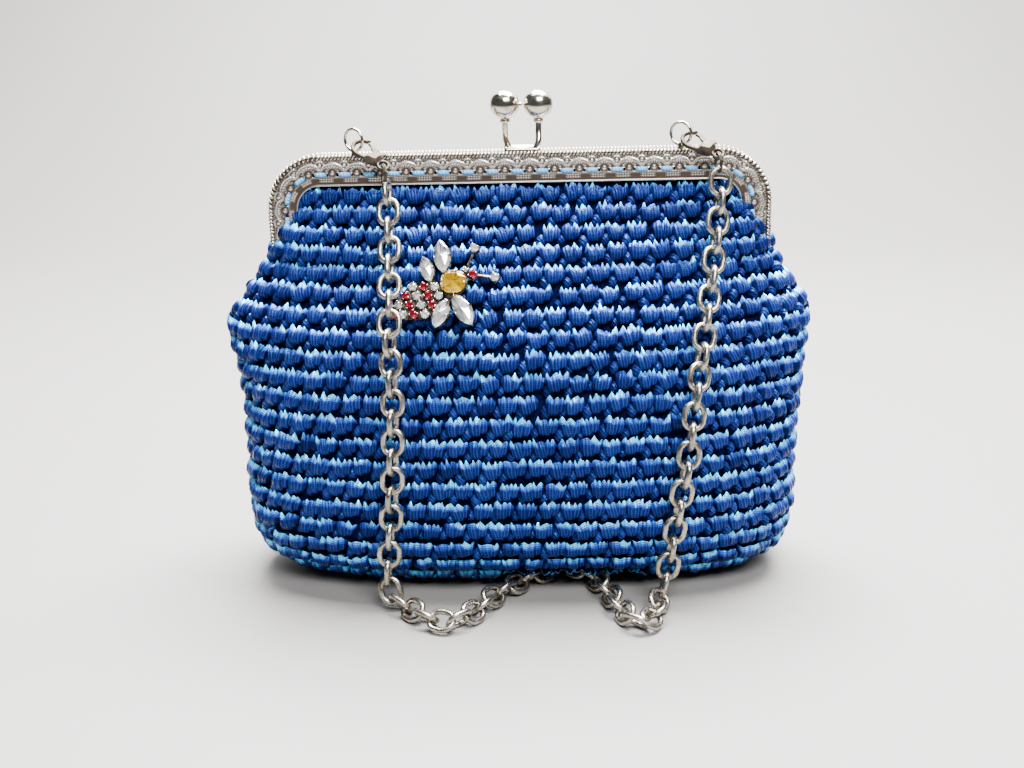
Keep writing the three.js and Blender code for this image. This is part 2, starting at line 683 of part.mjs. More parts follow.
function thoraxOutline(grow) {
  const x = THORAX.width / 2 + grow;
  const y = THORAX.height / 2 + grow;
  const cut = THORAX.chamfer;
  return shapeOf([
    [x, y - cut],
    [x - cut, y],
    [cut - x, y],
    [-x, y - cut],
    [-x, cut - y],
    [cut - x, -y],
    [x - cut, -y],
    [x, cut - y],
  ]);
}

// A stone with a table, a sloping crown all round, a girdle and the same slope below
function facetted(shape) {
  const stone = new THREE.ExtrudeGeometry(shape, {
    depth: FACETS.girdle,
    bevelEnabled: true,
    bevelThickness: FACETS.crown,
    bevelSize: FACETS.slope,
    bevelOffset: -FACETS.slope,
    bevelSegments: 1,
    curveSegments: FACETS.wingSteps,
  });
  return stone.translate(0, 0, FACETS.crown);
}

function plateOf(shape) {
  return new THREE.ExtrudeGeometry(shape, {
    depth: BROOCH.plate,
    bevelEnabled: false,
    curveSegments: FACETS.wingSteps,
  });
}

// A straight wire of the setting, in the plane of the plate or behind it
function settingWire(bar, radius, height) {
  const length = Math.hypot(bar.x - bar.fromX, bar.y - bar.fromY);
  const wire = new THREE.CylinderGeometry(radius, radius, length, BROOCH.wireSides);
  wire.rotateZ(Math.atan2(bar.y - bar.fromY, bar.x - bar.fromX) - Math.PI / 2);
  return wire.translate((bar.x + bar.fromX) / 2, (bar.y + bar.fromY) / 2, height);
}

function settingBar({ fromX, fromY, toX, toY, width }) {
  const thickness = BROOCH.plate - 2 * BROOCH.barInset;
  const bar = new THREE.BoxGeometry(Math.hypot(toX - fromX, toY - fromY), width, thickness);
  bar.rotateZ(Math.atan2(toY - fromY, toX - fromX));
  return bar.translate((fromX + toX) / 2, (fromY + toY) / 2, thickness / 2);
}

function abdomenStones() {
  const stones = [];
  const axis = radians(ABDOMEN.angle);
  ABDOMEN_ROWS.forEach(({ distance, count, colour }) => {
    for (let i = 0; i < count; i += 1) {
      const across = (i - (count - 1) / 2) * ABDOMEN.spacing + ABDOMEN.shift;
      const x = distance * Math.cos(axis) + across * Math.sin(axis);
      const y = distance * Math.sin(axis) - across * Math.cos(axis);
      const number = String(stones.length + 1).padStart(2, '0');
      stones.push({ name: `brooch_abdomen_stone_${number}`, x, y, size: 1, colour });
    }
  });
  return stones;
}

function roundStones() {
  const tips = ANTENNAE.map(({ x, y }, i) => {
    const name = `brooch_antenna_stone_${i + 1}`;
    return { name, x, y, size: 1, colour: 'clear' };
  });
  return [...HEAD_STONES, ...tips, ...abdomenStones()];
}

// The plate under the abdomen, as wide as each row of stones
function abdomenPlate() {
  const sides = [-1, 1].map((side) => ABDOMEN_ROWS.map(({ distance, count }) => {
    const across = (side * (count - 1) * ABDOMEN.spacing) / 2 + side * BROOCH.cup + ABDOMEN.shift;
    return new THREE.Vector2(-distance, across);
  }));
  const last = ABDOMEN_ROWS[ABDOMEN_ROWS.length - 1].distance + BROOCH.cup;
  const tail = new THREE.Vector2(-last, ABDOMEN.shift);
  const plate = plateOf(new THREE.Shape([...sides[0], tail, ...sides[1].reverse()]));
  return plate.rotateZ(radians(ABDOMEN.angle) - Math.PI);
}

function broochSetting() {
  const tips = ANTENNAE.map(({ x, y }) => ({ x, y, size: 1 }));
  const cups = [...HEAD_STONES, ...tips].map(({ x, y, size }) => {
    const cup = new THREE.CylinderGeometry(BROOCH.cup * size, BROOCH.cup * size, BROOCH.plate, BROOCH.cupSides);
    return cup.rotateX(Math.PI / 2).translate(x, y, BROOCH.plate / 2);
  });
  const wings = WINGS.map(({ x, y, length, width, turn }) => {
    const plate = plateOf(marquise(length, width, BROOCH.rim));
    return plate.rotateZ(radians(turn)).translate(x, y, 0);
  });
  const antennae = ANTENNAE.map((bar) => settingWire(bar, BROOCH.wire, BROOCH.plate / 2));
  const pinBar = { x: BROOCH_PIN.toX, y: BROOCH_PIN.toY, fromX: BROOCH_PIN.fromX, fromY: BROOCH_PIN.fromY };
  const pin = settingWire(pinBar, BROOCH_PIN.radius, -BROOCH_PIN.depth);
  const bars = BROOCH_BARS.map(settingBar);
  const plates = [plateOf(thoraxOutline(BROOCH.rim)), abdomenPlate(), ...cups, ...wings];
  return geometryOf(joined([...plates, ...antennae, ...bars, pin]));
}

function broochGroup() {
  const group = new THREE.Group();
  const stones = roundStones();
  const seat = BROOCH.plate + BROOCH.stoneGap;
  group.add(piece('brooch_setting', broochSetting(), 'nickel'));
  stones.forEach(({ name, x, y, size, colour }) => {
    const stone = piece(name, roundStone(size), colour);
    stone.position.set(x, y, seat);
    group.add(stone);
  });
  WINGS.forEach(({ x, y, length, width, turn }, i) => {
    const wing = piece(`brooch_wing_${i + 1}`, facetted(marquise(length, width, -BROOCH.rim)), 'clear');
    wing.position.set(x, y, seat);
    wing.rotation.z = radians(turn);
    group.add(wing);
  });
  const thorax = piece('brooch_thorax_stone', facetted(thoraxOutline(-BROOCH.rim)), 'amber');
  thorax.position.z = seat;
  group.add(thorax);
  // the plane of the brooch leans back with the front of the bag
  group.position.set(...BROOCH.place);
  group.rotation.order = 'ZXY';
  group.rotation.set(radians(90 - BROOCH.leanBack), 0, radians(-BROOCH.turnLeft));
  return group;
}

// The whole bag
const bag = new THREE.Group();
bag.add(piece('crochet_body', crochetBody(), 'ribbon'));
bag.add(piece('frame_front', frameHalf(LOCK.frontX, true), 'nickel'));
const backHalf = piece('frame_back', frameHalf(-LOCK.backX, false), 'nickel');
backHalf.rotation.z = Math.PI;
bag.add(backHalf);
['left', 'right'].forEach((side, i) => {
  const rivet = piece(`hinge_rivet_${side}`, hingeRivet(), 'nickel');
  rivet.position.set(i === 0 ? -HINGE.x : HINGE.x, 0, HINGE.z);
  bag.add(rivet);
});
CLASP_LAYS.forEach((lay) => {
  bag.add(claspGroup(lay));
  bag.add(strapRing(lay));
});
bag.add(piece('chain_strap', wireAlong(CHAIN_ROUTE, CHAIN.radius, CHAIN.sides, CHAIN.steps), 'nickel'));
bag.add(broochGroup());

export default bag;
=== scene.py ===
"""Visual model of a crochet handbag on a metal purse frame, with a chain strap and a bee brooch."""
import json
import logging
import math
from dataclasses import astuple, dataclass, field
from enum import Enum

import bpy
import numpy as np
from mathutils import Matrix, Vector


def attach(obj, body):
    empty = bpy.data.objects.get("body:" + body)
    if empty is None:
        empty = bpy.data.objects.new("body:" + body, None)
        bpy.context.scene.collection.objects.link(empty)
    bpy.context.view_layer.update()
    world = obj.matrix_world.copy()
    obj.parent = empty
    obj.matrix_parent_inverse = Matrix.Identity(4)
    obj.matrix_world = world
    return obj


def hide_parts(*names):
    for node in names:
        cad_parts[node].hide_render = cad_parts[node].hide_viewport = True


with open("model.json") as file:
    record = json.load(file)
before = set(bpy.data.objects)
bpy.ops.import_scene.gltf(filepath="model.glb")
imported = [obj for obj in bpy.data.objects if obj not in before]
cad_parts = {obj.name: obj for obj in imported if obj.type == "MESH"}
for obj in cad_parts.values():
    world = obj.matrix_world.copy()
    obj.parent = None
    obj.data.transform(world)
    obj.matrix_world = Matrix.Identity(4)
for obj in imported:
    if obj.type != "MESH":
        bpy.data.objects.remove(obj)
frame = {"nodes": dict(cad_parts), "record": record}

LOG = logging.getLogger("crochet_handbag")
MM = 0.001
SEED = 331
ROOT_BODY = "bag"
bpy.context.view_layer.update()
# Noise keeps to the middle of its range, so this stretch of it is spread out
NOISE_RANGE = (0.3, 0.7)
# The tint of a fold's own face, painted dark as shade; the tips of its pleats get painted highlights and are
# paler
PAINTED_FACE_SHADE = 0.06
# Points round the body where a round of stitches is worked out
RING_POINTS = 720
# A direction that no wire here runs along
SKEW = (0.13, 0.57, 0.81)


class Slot(Enum):
    """The record's material slots."""

    RIBBON = "ribbon_yarn"
    NICKEL = "nickel_plate"
    CLEAR = "clear_glass"
    RED = "red_glass"
    AMBER = "amber_glass"


@dataclass(frozen=True)
class CutShape:
    """A stone's form: the powers that bow its outline, its table's share and the keel's rise over it."""

    long_power: float
    short_power: float
    table: float
    keel: float


class Cut(Enum):
    """How a stone is cut, as seen from above."""

    ROUND = CutShape(1.0, 1.0, 0.52, 0.06)
    POINTED = CutShape(1.0, 1.45, 0.3, 0.22)
    CUSHION = CutShape(0.8, 0.8, 0.62, 0.0)


# Colours and shader nodes


def to_linear(hex_colour: str) -> tuple[float, float, float, float]:
    """Turns an sRGB hex colour into linear RGBA.

    Args:
        hex_colour: six hex digits after a hash sign.

    Returns:
        Linear red, green, blue and an alpha of 1.
    """
    values = [int(hex_colour[i : i + 2], 16) / 255 for i in (1, 3, 5)]
    linear = [v / 12.92 if v <= 0.04045 else ((v + 0.055) / 1.055) ** 2.4 for v in values]
    return (*linear, 1.0)


def set_up(tree: bpy.types.NodeTree, node: bpy.types.Node, settings: dict, links: dict) -> None:
    """Sets a shader node's values and feeds its inputs.

    Args:
        tree: the node tree that it is in.
        node: the node.
        settings: values by property name, or by input name or number.
        links: output sockets by the input name or number that they feed.
    """
    for key, value in settings.items():
        if isinstance(key, str) and hasattr(node, key):
            setattr(node, key, value)
        else:
            node.inputs[key].default_value = value
    for key, source in links.items():
        tree.links.new(source, node.inputs[key])


def add_node(
    tree: bpy.types.NodeTree, kind: str, settings: dict | None = None, links: dict | None = None
) -> bpy.types.Node:
    """Adds one shader node.

    Args:
        tree: the node tree to add to.
        kind: the node's type name.
        settings: values by property name, or by input name or number.
        links: output sockets by the input name or number that they feed.

    Returns:
        The new node.
    """
    node = tree.nodes.new(kind)
    set_up(tree, node, settings or {}, links or {})
    return node


def two_tones(low: str, high: str) -> dict:
    """Gives a mix node's settings for two sRGB hex colours."""
    return {"data_type": "RGBA", 6: to_linear(low), 7: to_linear(high)}


def band_scale(period_mm: float) -> float:
    """Gives the wave texture's scale for a band of that width, on coordinates in mm."""
    return 2 * math.pi / (20 * period_mm)


def grain(tree: bpy.types.NodeTree, size_mm: float, low: float = 0, high: float = 1) -> bpy.types.NodeSocket:
    """Adds an uneven pattern on the piece's own coordinates.

    Args:
        tree: the node tree to add to.
        size_mm: size of its patches.
        low: value in the hollows.
        high: value on the tops.

    Returns:
        The socket that gives the value.
    """
    place = add_node(tree, "ShaderNodeTexCoord").outputs["Object"]
    noise = add_node(tree, "ShaderNodeTexNoise", {"Scale": 1 / (size_mm * MM)}, {"Vector": place})
    spread = {"From Min": NOISE_RANGE[0], "From Max": NOISE_RANGE[1], "To Min": low, "To Max": high}
    return add_node(tree, "ShaderNodeMapRange", spread, {"Value": noise.outputs["Fac"]}).outputs["Result"]


@dataclass(frozen=True)
class Finish:
    """A finish: one material, named for what it is made of and how."""

    name: str

    def shade(self, tree: bpy.types.NodeTree, shader: bpy.types.Node) -> None:
        """Sets the principled shader.

        Args:
            tree: the material's node tree.
            shader: its principled node.
        """
        raise NotImplementedError

    def material(self) -> bpy.types.Material:
        """Builds the material, or returns it if it is there already.

        Returns:
            The material.
        """
        found = bpy.data.materials.get(self.name)
        if found:
            return found
        made = bpy.data.materials.new(self.name)
        made.use_nodes = True
        self.shade(made.node_tree, made.node_tree.nodes["Principled BSDF"])
        return made


@dataclass(frozen=True)
class SatinRibbon(Finish):
    """Woven satin ribbon: painted shade in the folds, painted pale highlights on their tops, threads and
    pleats.
    """

    colour: str
    shadow: str
    painted_highlight_and_sheen: str
    roughness: float
    gloss: float
    pleat_mm: float
    thread_mm: float
    rays: float = 0.1
    thread_share: float = 0.6
    colour_stop: float = 0.4
    pleat_relief_mm: float = 0.35
    thread_relief_mm: float = 0.12
    ior: float = 1.6

    def shade(self, tree: bpy.types.NodeTree, shader: bpy.types.Node) -> None:
        """Adds the painted shade and highlights of each fold, the pleats and the weave.

        Args:
            tree: the material's node tree.
            shader: its principled node.
        """
        place = add_node(tree, "ShaderNodeUVMap", {"uv_map": "ribbon_mm"}).outputs["UV"]
        tint = add_node(tree, "ShaderNodeAttribute", {"attribute_name": "tint"}).outputs["Fac"]
        crimped = {"bands_direction": "X", "Scale": band_scale(self.pleat_mm), "Distortion": 2.6}
        pleats = add_node(tree, "ShaderNodeTexWave", crimped, {"Vector": place}).outputs["Fac"]
        straight = {"bands_direction": "Y", "Scale": band_scale(self.thread_mm), "Distortion": 0.4}
        threads = add_node(tree, "ShaderNodeTexWave", straight, {"Vector": place}).outputs["Fac"]
        weave = {"operation": "MULTIPLY_ADD", 1: self.thread_share, 2: 1 - self.thread_share}
        lines = add_node(tree, "ShaderNodeMath", weave, {0: threads}).outputs[0]
        # Ridges of the pleats are painted lighter on the dark faces, as painted glints
        growth = {"From Max": PAINTED_FACE_SHADE, "To Max": self.rays}
        reach = add_node(tree, "ShaderNodeMapRange", growth, {"Value": tint}).outputs["Result"]
        edges = {"From Min": 0.55, "From Max": 0.95}
        rays = add_node(tree, "ShaderNodeMapRange", edges, {"Value": pleats, "To Max": reach})
        total = {0: lines, 1: tint, 2: rays.outputs["Result"]}
        depth = add_node(tree, "ShaderNodeMath", {"operation": "MULTIPLY_ADD"}, total)
        # The colour runs from the painted shade of the faces, by way of the ribbon's own colour, to the
        # painted highlights of the tips
        shades = add_node(tree, "ShaderNodeValToRGB", None, {"Fac": depth.outputs[0]})
        stops = shades.color_ramp.elements
        stops[0].color = to_linear(self.shadow)
        stops[1].color = to_linear(self.painted_highlight_and_sheen)
        stops.new(self.colour_stop).color = to_linear(self.colour)
        folds = {"Strength": 0.6, "Distance": self.pleat_relief_mm * MM}
        folded = add_node(tree, "ShaderNodeBump", folds, {"Height": pleats}).outputs["Normal"]
        weft = {"Strength": 0.35, "Distance": self.thread_relief_mm * MM}
        woven = add_node(tree, "ShaderNodeBump", weft, {"Height": threads, "Normal": folded})
        sheen = add_node(tree, "ShaderNodeMath", {"operation": "MULTIPLY", 1: self.gloss}, {0: tint})
        settings = {"Roughness": self.roughness, "IOR": self.ior, "Anisotropic": 0.4}
        settings["Specular Tint"] = to_linear(self.painted_highlight_and_sheen)
        links = {"Base Color": shades.outputs["Color"], "Normal": woven.outputs["Normal"]}
        links["Specular IOR Level"] = sheen.outputs[0]
        set_up(tree, shader, settings, links)


@dataclass(frozen=True)
class MattYarn(Finish):
    """Yarn between the stitches, painted almost black as shade: a little uneven, without shine."""

    colour: str
    shadow: str
    roughness: float
    strand_mm: float
    relief_mm: float = 0.4

    def shade(self, tree: bpy.types.NodeTree, shader: bpy.types.Node) -> None:
        """Mixes two dark blues strand by strand.

        Args:
            tree: the material's node tree.
            shader: its principled node.
        """
        strands = grain(tree, self.strand_mm)
        mix = add_node(tree, "ShaderNodeMix", two_tones(self.shadow, self.colour), {0: strands})
        lumps = {"Strength": 0.5, "Distance": self.relief_mm * MM}
        bump = add_node(tree, "ShaderNodeBump", lumps, {"Height": strands})
        settings = {"Roughness": self.roughness, "Specular IOR Level": 0.05}
        set_up(tree, shader, settings, {"Base Color": mix.outputs[2], "Normal": bump.outputs["Normal"]})


@dataclass(frozen=True)
class FloorPaint(Finish):
    """Matt paint: plain and pale in the picture, falling off to painted shade that stands for the dark of the
    room behind the eye.
    """

    pale: str
    dark: str
    roughness: float
    orange_peel_mm: float = 3.0
    relief_mm: float = 0.1

    def shade(self, tree: bpy.types.NodeTree, shader: bpy.types.Node) -> None:
        """Mixes pale and the painted shade by the floor's tint, with a roller's fine texture.

        Args:
            tree: the material's node tree.
            shader: its principled node.
        """
        light = add_node(tree, "ShaderNodeAttribute", {"attribute_name": "tint"}).outputs["Fac"]
        mix = add_node(tree, "ShaderNodeMix", two_tones(self.dark, self.pale), {0: light})
        roller = {"Strength": 0.05, "Distance": self.relief_mm * MM}
        bump = add_node(tree, "ShaderNodeBump", roller, {"Height": grain(tree, self.orange_peel_mm)})
        links = {"Base Color": mix.outputs[2], "Normal": bump.outputs["Normal"]}
        set_up(tree, shader, {"Roughness": self.roughness}, links)


@dataclass(frozen=True)
class PlatedNickel(Finish):
    """Nickel plate: bright, a little yellowed where it is handled, dulled in places by fine scratches."""

    bright: str
    handled: str
    smooth: float
    dull: float
    patch_mm: float = 3.0
    # Real scratches are far finer than the picture shows, so they are drawn this far apart
    scratch_mm: float = 0.9
    relief_mm: float = 0.02

    def shade(self, tree: bpy.types.NodeTree, shader: bpy.types.Node) -> None:
        """Mixes the handled tone in by patches and dulls the plate by scratches.

        Args:
            tree: the material's node tree.
            shader: its principled node.
        """
        patches = grain(tree, self.patch_mm)
        mix = add_node(tree, "ShaderNodeMix", two_tones(self.handled, self.bright), {0: patches})
        scratches = grain(tree, self.scratch_mm, self.dull, self.smooth)
        worn = {"Strength": 0.04, "Distance": self.relief_mm * MM}
        bump = add_node(tree, "ShaderNodeBump", worn, {"Height": scratches})
        links = {"Base Color": mix.outputs[2], "Roughness": scratches, "Normal": bump.outputs["Normal"]}
        set_up(tree, shader, {"Metallic": 1.0}, links)


@dataclass(frozen=True)
class StampedNickel(Finish):
    """Stamped and plated sheet: bright on the raised ornament, dark brown in its hollows, tarnished and with
    painted shade.
    """

    bright: str
    tarnish_and_shade: str
    smooth: float
    dull: float
    patch_mm: float = 2.0

    def shade(self, tree: bpy.types.NodeTree, shader: bpy.types.Node) -> None:
        """Mixes the dark brown of tarnishing and painted shade into the hollows by the height of the relief,
        unevenly.

        Args:
            tree: the material's node tree.
            shader: its principled node.
        """
        height = add_node(tree, "ShaderNodeAttribute", {"attribute_name": "relief"}).outputs["Fac"]
        sources = {0: height, 1: grain(tree, self.patch_mm, 0.7)}
        tone = add_node(tree, "ShaderNodeMath", {"operation": "MULTIPLY"}, sources).outputs[0]
        mix = add_node(tree, "ShaderNodeMix", two_tones(self.tarnish_and_shade, self.bright), {0: tone})
        rub = {"To Min": self.dull, "To Max": self.smooth}
        rough = add_node(tree, "ShaderNodeMapRange", rub, {"Value": tone})
        links = {"Base Color": mix.outputs[2], "Roughness": rough.outputs["Result"]}
        set_up(tree, shader, {"Metallic": 1.0}, links)


@dataclass(frozen=True)
class CutGlass(Finish):
    """Cut and foiled glass: sharp facets, painted bright or deep one by one as painted reflections."""

    colour: str
    deep: str
    patch_mm: float = 1.3
    ior: float = 1.55

    def shade(self, tree: bpy.types.NodeTree, shader: bpy.types.Node) -> None:
        """Sets the mirror foil behind, tinted with painted reflections that are brighter on the lower facets,
        with the glass as a clear coat over it.

        Args:
            tree: the material's node tree.
            shader: its principled node.
        """
        painted_sparkle = add_node(tree, "ShaderNodeAttribute", {"attribute_name": "painted_sparkle"}).outputs["Fac"]
        sources = {0: painted_sparkle, 1: grain(tree, self.patch_mm, 0.8)}
        tone = add_node(tree, "ShaderNodeMath", {"operation": "MULTIPLY"}, sources).outputs[0]
        mix = add_node(tree, "ShaderNodeMix", two_tones(self.deep, self.colour), {0: tone})
        settings = {"Metallic": 0.65, "Roughness": 0.08, "Coat Weight": 0.5, "Coat Roughness": 0.01}
        settings["Coat IOR"] = self.ior
        set_up(tree, shader, settings, {"Base Color": mix.outputs[2]})


# Royal blue satin: folds painted dark as shade, tips painted pale as highlights, and a soft sheen along the
# threads
RIBBON = SatinRibbon("satin ribbon yarn, royal blue", "#2a44b0", "#07061e", "#5accff", 0.2, 2.0, 1.25, 0.8)
# A lighter, duller ribbon, so that each stitch stands out on the metal
THREAD = SatinRibbon("satin sewing ribbon, light blue", "#55abec", "#1d5ea8", "#a6dafc", 0.35, 0.6, 1.4, 0.55)
# Nearly black as painted shade, so that the gaps between the stitches look deep
YARN_SHADE = MattYarn("ribbon yarn between the stitches, in shade", "#040a3a", "#010318", 0.9, 1.5)
# Bright and mirror-like, a little warm
NICKEL = PlatedNickel("polished nickel plate", "#d6d0c4", "#a79d8c", 0.1, 0.22)
# Brownish grey, with a broad, soft shine
CAST_NICKEL = PlatedNickel("die-cast nickel, warm", "#544d40", "#38322a", 0.5, 0.62)
# Dark, so that the stones stand out
SETTING_NICKEL = PlatedNickel("oxidised nickel setting", "#6f685d", "#2b2620", 0.2, 0.4)
# Grey and satiny, with a bright line along each wire
CHAIN_NICKEL = PlatedNickel("tumbled nickel-plated chain", "#b9b2a6", "#827a6d", 0.24, 0.34)
# Bright tops over brown hollows, tarnished and with painted shade, so that the small ornament shows
STAMPED = StampedNickel("stamped nickel plate, darkened", "#f0ece4", "#574c45", 0.18, 0.42)
# Bright and deep facets side by side, painted as reflections, which makes the stones sparkle
GLASS = {
    Slot.CLEAR: CutGlass("foiled crystal glass, clear", "#ffffff", "#26282c"),
    Slot.RED: CutGlass("foiled crystal glass, red", "#a00826", "#400008"),
    Slot.AMBER: CutGlass("foiled crystal glass, amber", "#dfb000", "#4a2400"),
}
# Plain, and pale under the light, without shine; far in front it is painted dark as the room's shade
FLOOR_PAINT = FloorPaint("matt white paint", "#6e6c6a", "#2a2521", 0.6)


# Meshes from arrays


@dataclass
class Patch:
    """Points in mm with quads, and for each point a place on the ribbon or sheet and a value."""

    points: np.ndarray
    quads: np.ndarray
    places: np.ndarray | None = None
    values: np.ndarray | None = None


def grid_quads(rows: int, columns: int, close: bool = False) -> np.ndarray:
    """Lists the quads of a grid of points, row by row.

    Args:
        rows: number of rows of points.
        columns: number of points in a row.
        close: whether the last column joins the first.

    Returns:
        Four point numbers for each quad.
    """
    across = columns if close else columns - 1
    r, c = np.meshgrid(np.arange(rows - 1), np.arange(across), indexing="ij")
    a = (r * columns + c).ravel()
    b = (r * columns + (c + 1) % columns).ravel()
    return np.stack([a, b, b + columns, a + columns], axis=1)


def joined(patches: list[Patch]) -> Patch:
    """Joins patches into one.

    Args:
        patches: what to join.

    Returns:
        One patch with all points and quads.
    """
    starts = np.cumsum([0] + [len(p.points) for p in patches[:-1]])
    quads = np.concatenate([p.quads + start for p, start in zip(patches, starts)])
    places = None if patches[0].places is None else np.concatenate([p.places for p in patches])
    values = None if patches[0].values is None else np.concatenate([p.values for p in patches])
    return Patch(np.concatenate([p.points for p in patches]), quads, places, values)


def mesh_object(name: str, patch: Patch, finish: Finish, value_name: str = "tint") -> bpy.types.Object:
    """Makes a mesh object from a patch.

    Args:
        name: the piece's name.
        patch: its points and quads.
        finish: its finish.
        value_name: the name of the point attribute that takes the patch's values.

    Returns:
        The linked object.
    """
    mesh = bpy.data.meshes.new(name)
    mesh.vertices.add(len(patch.points))
    mesh.vertices.foreach_set("co", (patch.points * MM).astype(np.float32).ravel())
    mesh.loops.add(4 * len(patch.quads))
    mesh.loops.foreach_set("vertex_index", patch.quads.astype(np.int32).ravel())
    mesh.polygons.add(len(patch.quads))
    mesh.polygons.foreach_set("loop_start", np.arange(0, 4 * len(patch.quads), 4, dtype=np.int32))
    if patch.places is not None:
        layer = mesh.uv_layers.new(name="ribbon_mm")
        layer.data.foreach_set("uv", patch.places[patch.quads.ravel()].astype(np.float32).ravel())
    if patch.values is not None:
        attribute = mesh.attributes.new(value_name, "FLOAT", "POINT")
        attribute.data.foreach_set("value", patch.values.astype(np.float32))
    mesh.update(calc_edges=True)
    mesh.validate()
    mesh.shade_smooth()
    mesh.materials.append(finish.material())
    made = bpy.data.objects.new(name, mesh)
    bpy.context.scene.collection.objects.link(made)
    return made


def show(piece: bpy.types.Object) -> None:
    """Lets a piece ride on the bag, and logs it.

    Args:
        piece: the piece.
    """
    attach(piece, ROOT_BODY)
    LOG.info("%s: %d quads", piece.name, len(piece.data.polygons))


def redress(name: str, finish: Finish) -> bpy.types.Object:
    """Gives a solid of the frame its finish, and logs it.

    Args:
        name: the solid's node.
        finish: what it is dressed in.

    Returns:
        The solid.
    """
    node = frame["nodes"][name]
    node.data.materials.clear()
    node.data.materials.append(finish.material())
    LOG.info("%s: %s", name, finish.name)
    return node


def ease(values: np.ndarray) -> np.ndarray:
    """Runs smoothly from 0 to 1, and stays there."""
    t = np.clip(values, 0, 1)
    return t * t * (3 - 2 * t)


def unit(vectors: np.ndarray) -> np.ndarray:
    """Scales each vector to length 1."""
    return vectors / np.linalg.norm(vectors, axis=-1, keepdims=True)


def full_turn(count: int) -> np.ndarray:
    """Lists angles evenly round a full turn."""
    return np.linspace(0, 2 * np.pi, count, endpoint=False)


def run_along(points: np.ndarray) -> np.ndarray:
    """Adds up the distance along a line of points, from 0 at the first."""
    return np.concatenate([[0.0], np.cumsum(np.linalg.norm(np.diff(points, axis=0), axis=1))])


def at_run(wanted: np.ndarray | float, run: np.ndarray, points: np.ndarray) -> np.ndarray:
    """Gives the places at certain distances along a line of points.

    Args:
        wanted: the distances.
        run: the distance of each point.
        points: the points, or directions there.

    Returns:
        One place for each distance.
    """
    return np.stack([np.interp(wanted, run, points[:, k]) for k in range(3)], axis=-1)


def tube(path: np.ndarray, radius: float, sides: int, closed: bool = False) -> Patch:
    """Makes a round wire along a path.

    Args:
        path: points of its middle line.
        radius: the wire's radius.
        sides: faces round the wire.
        closed: whether the wire is a ring.

    Returns:
        The wire's patch; an open wire ends in two points.
    """
    if closed:
        ahead = np.roll(path, -1, axis=0) - np.roll(path, 1, axis=0)
    else:
        ahead = np.gradient(path, axis=0)
    ahead = unit(ahead)
    side = np.zeros_like(path)
    side[0] = unit(np.cross(ahead[0], SKEW))
    for i in range(1, len(path)):
        side[i] = unit(side[i - 1] - ahead[i] * np.dot(side[i - 1], ahead[i]))
    other = np.cross(ahead, side)
    turn = full_turn(sides)[:, None]
    rings = path[:, None] + radius * (side[:, None] * np.cos(turn) + other[:, None] * np.sin(turn))
    if closed:
        rings = np.concatenate([rings, rings[:1]])
    else:
        first, last = (np.repeat(end[None, None], sides, axis=1) for end in (path[0], path[-1]))
        rings = np.concatenate([first, rings, last])
    return Patch(rings.reshape(-1, 3), grid_quads(len(rings), sides, True)[:, ::-1])


def lathe(profile: list[tuple[float, float]], sides: int, centre: tuple[float, float, float]) -> Patch:
    """Turns a profile about an upright axis.

    Args:
        profile: radius and height of each point, from below upwards.
        sides: faces round the axis.
        centre: where the axis starts.

    Returns:
        The turned patch.
    """
    turn = full_turn(sides)
    rings = [np.stack([r * np.cos(turn), r * np.sin(turn), np.full(sides, z)], axis=1) for r, z in profile]
    return Patch(np.concatenate(rings) + np.array(centre), grid_quads(len(profile), sides, True))


def ball_profile(radius: float, steps: int) -> list[tuple[float, float]]:
    """Lists the profile of a ball about its middle, from below upwards."""
    angles = [-math.pi / 2 + math.pi * i / steps for i in range(steps + 1)]
    return [(max(radius * math.cos(a), 0.0), radius * math.sin(a)) for a in angles]


def smooth_path(stops: list[tuple[float, float, float]], spacing: float) -> np.ndarray:
    """Runs a centripetal curve through the stops.

    Args:
        stops: points that the curve passes.
        spacing: distance between the points that come back.

    Returns:
        Points evenly spaced along the curve.
    """
    p = np.array(stops, dtype=float)
    p = np.concatenate([[2 * p[0] - p[1]], p, [2 * p[-1] - p[-2]]])
    per_stop = 40
    points = []
    for i in range(1, len(p) - 2):
        knots = np.cumsum([0.0] + [np.linalg.norm(p[i + k] - p[i + k - 1]) ** 0.5 for k in (0, 1, 2)])
        t = np.linspace(knots[1], knots[2], per_stop, endpoint=False)[:, None]
        a = [(knots[k + 1] - t) / (knots[k + 1] - knots[k]) for k in range(3)]
        one = [a[k] * p[i - 1 + k] + (1 - a[k]) * p[i + k] for k in range(3)]
        b = [(knots[k + 2] - t) / (knots[k + 2] - knots[k]) for k in range(2)]
        two = [b[k] * one[k] + (1 - b[k]) * one[k + 1] for k in range(2)]
        points.append(a[1] * two[0] + (1 - a[1]) * two[1])
    fine = np.concatenate(points + [p[-2:-1]])
    run = run_along(fine)
    count = max(int(round(run[-1] / spacing)), 2)
    return at_run(np.linspace(0, run[-1], count + 1), run, fine)


# The crochet body


@dataclass(frozen=True)
class Section:
    """The outline of the body at one height: a superellipse, in mm."""

    z: float
    half_width: float
    half_depth: float
    squareness: float
    centre_x: float


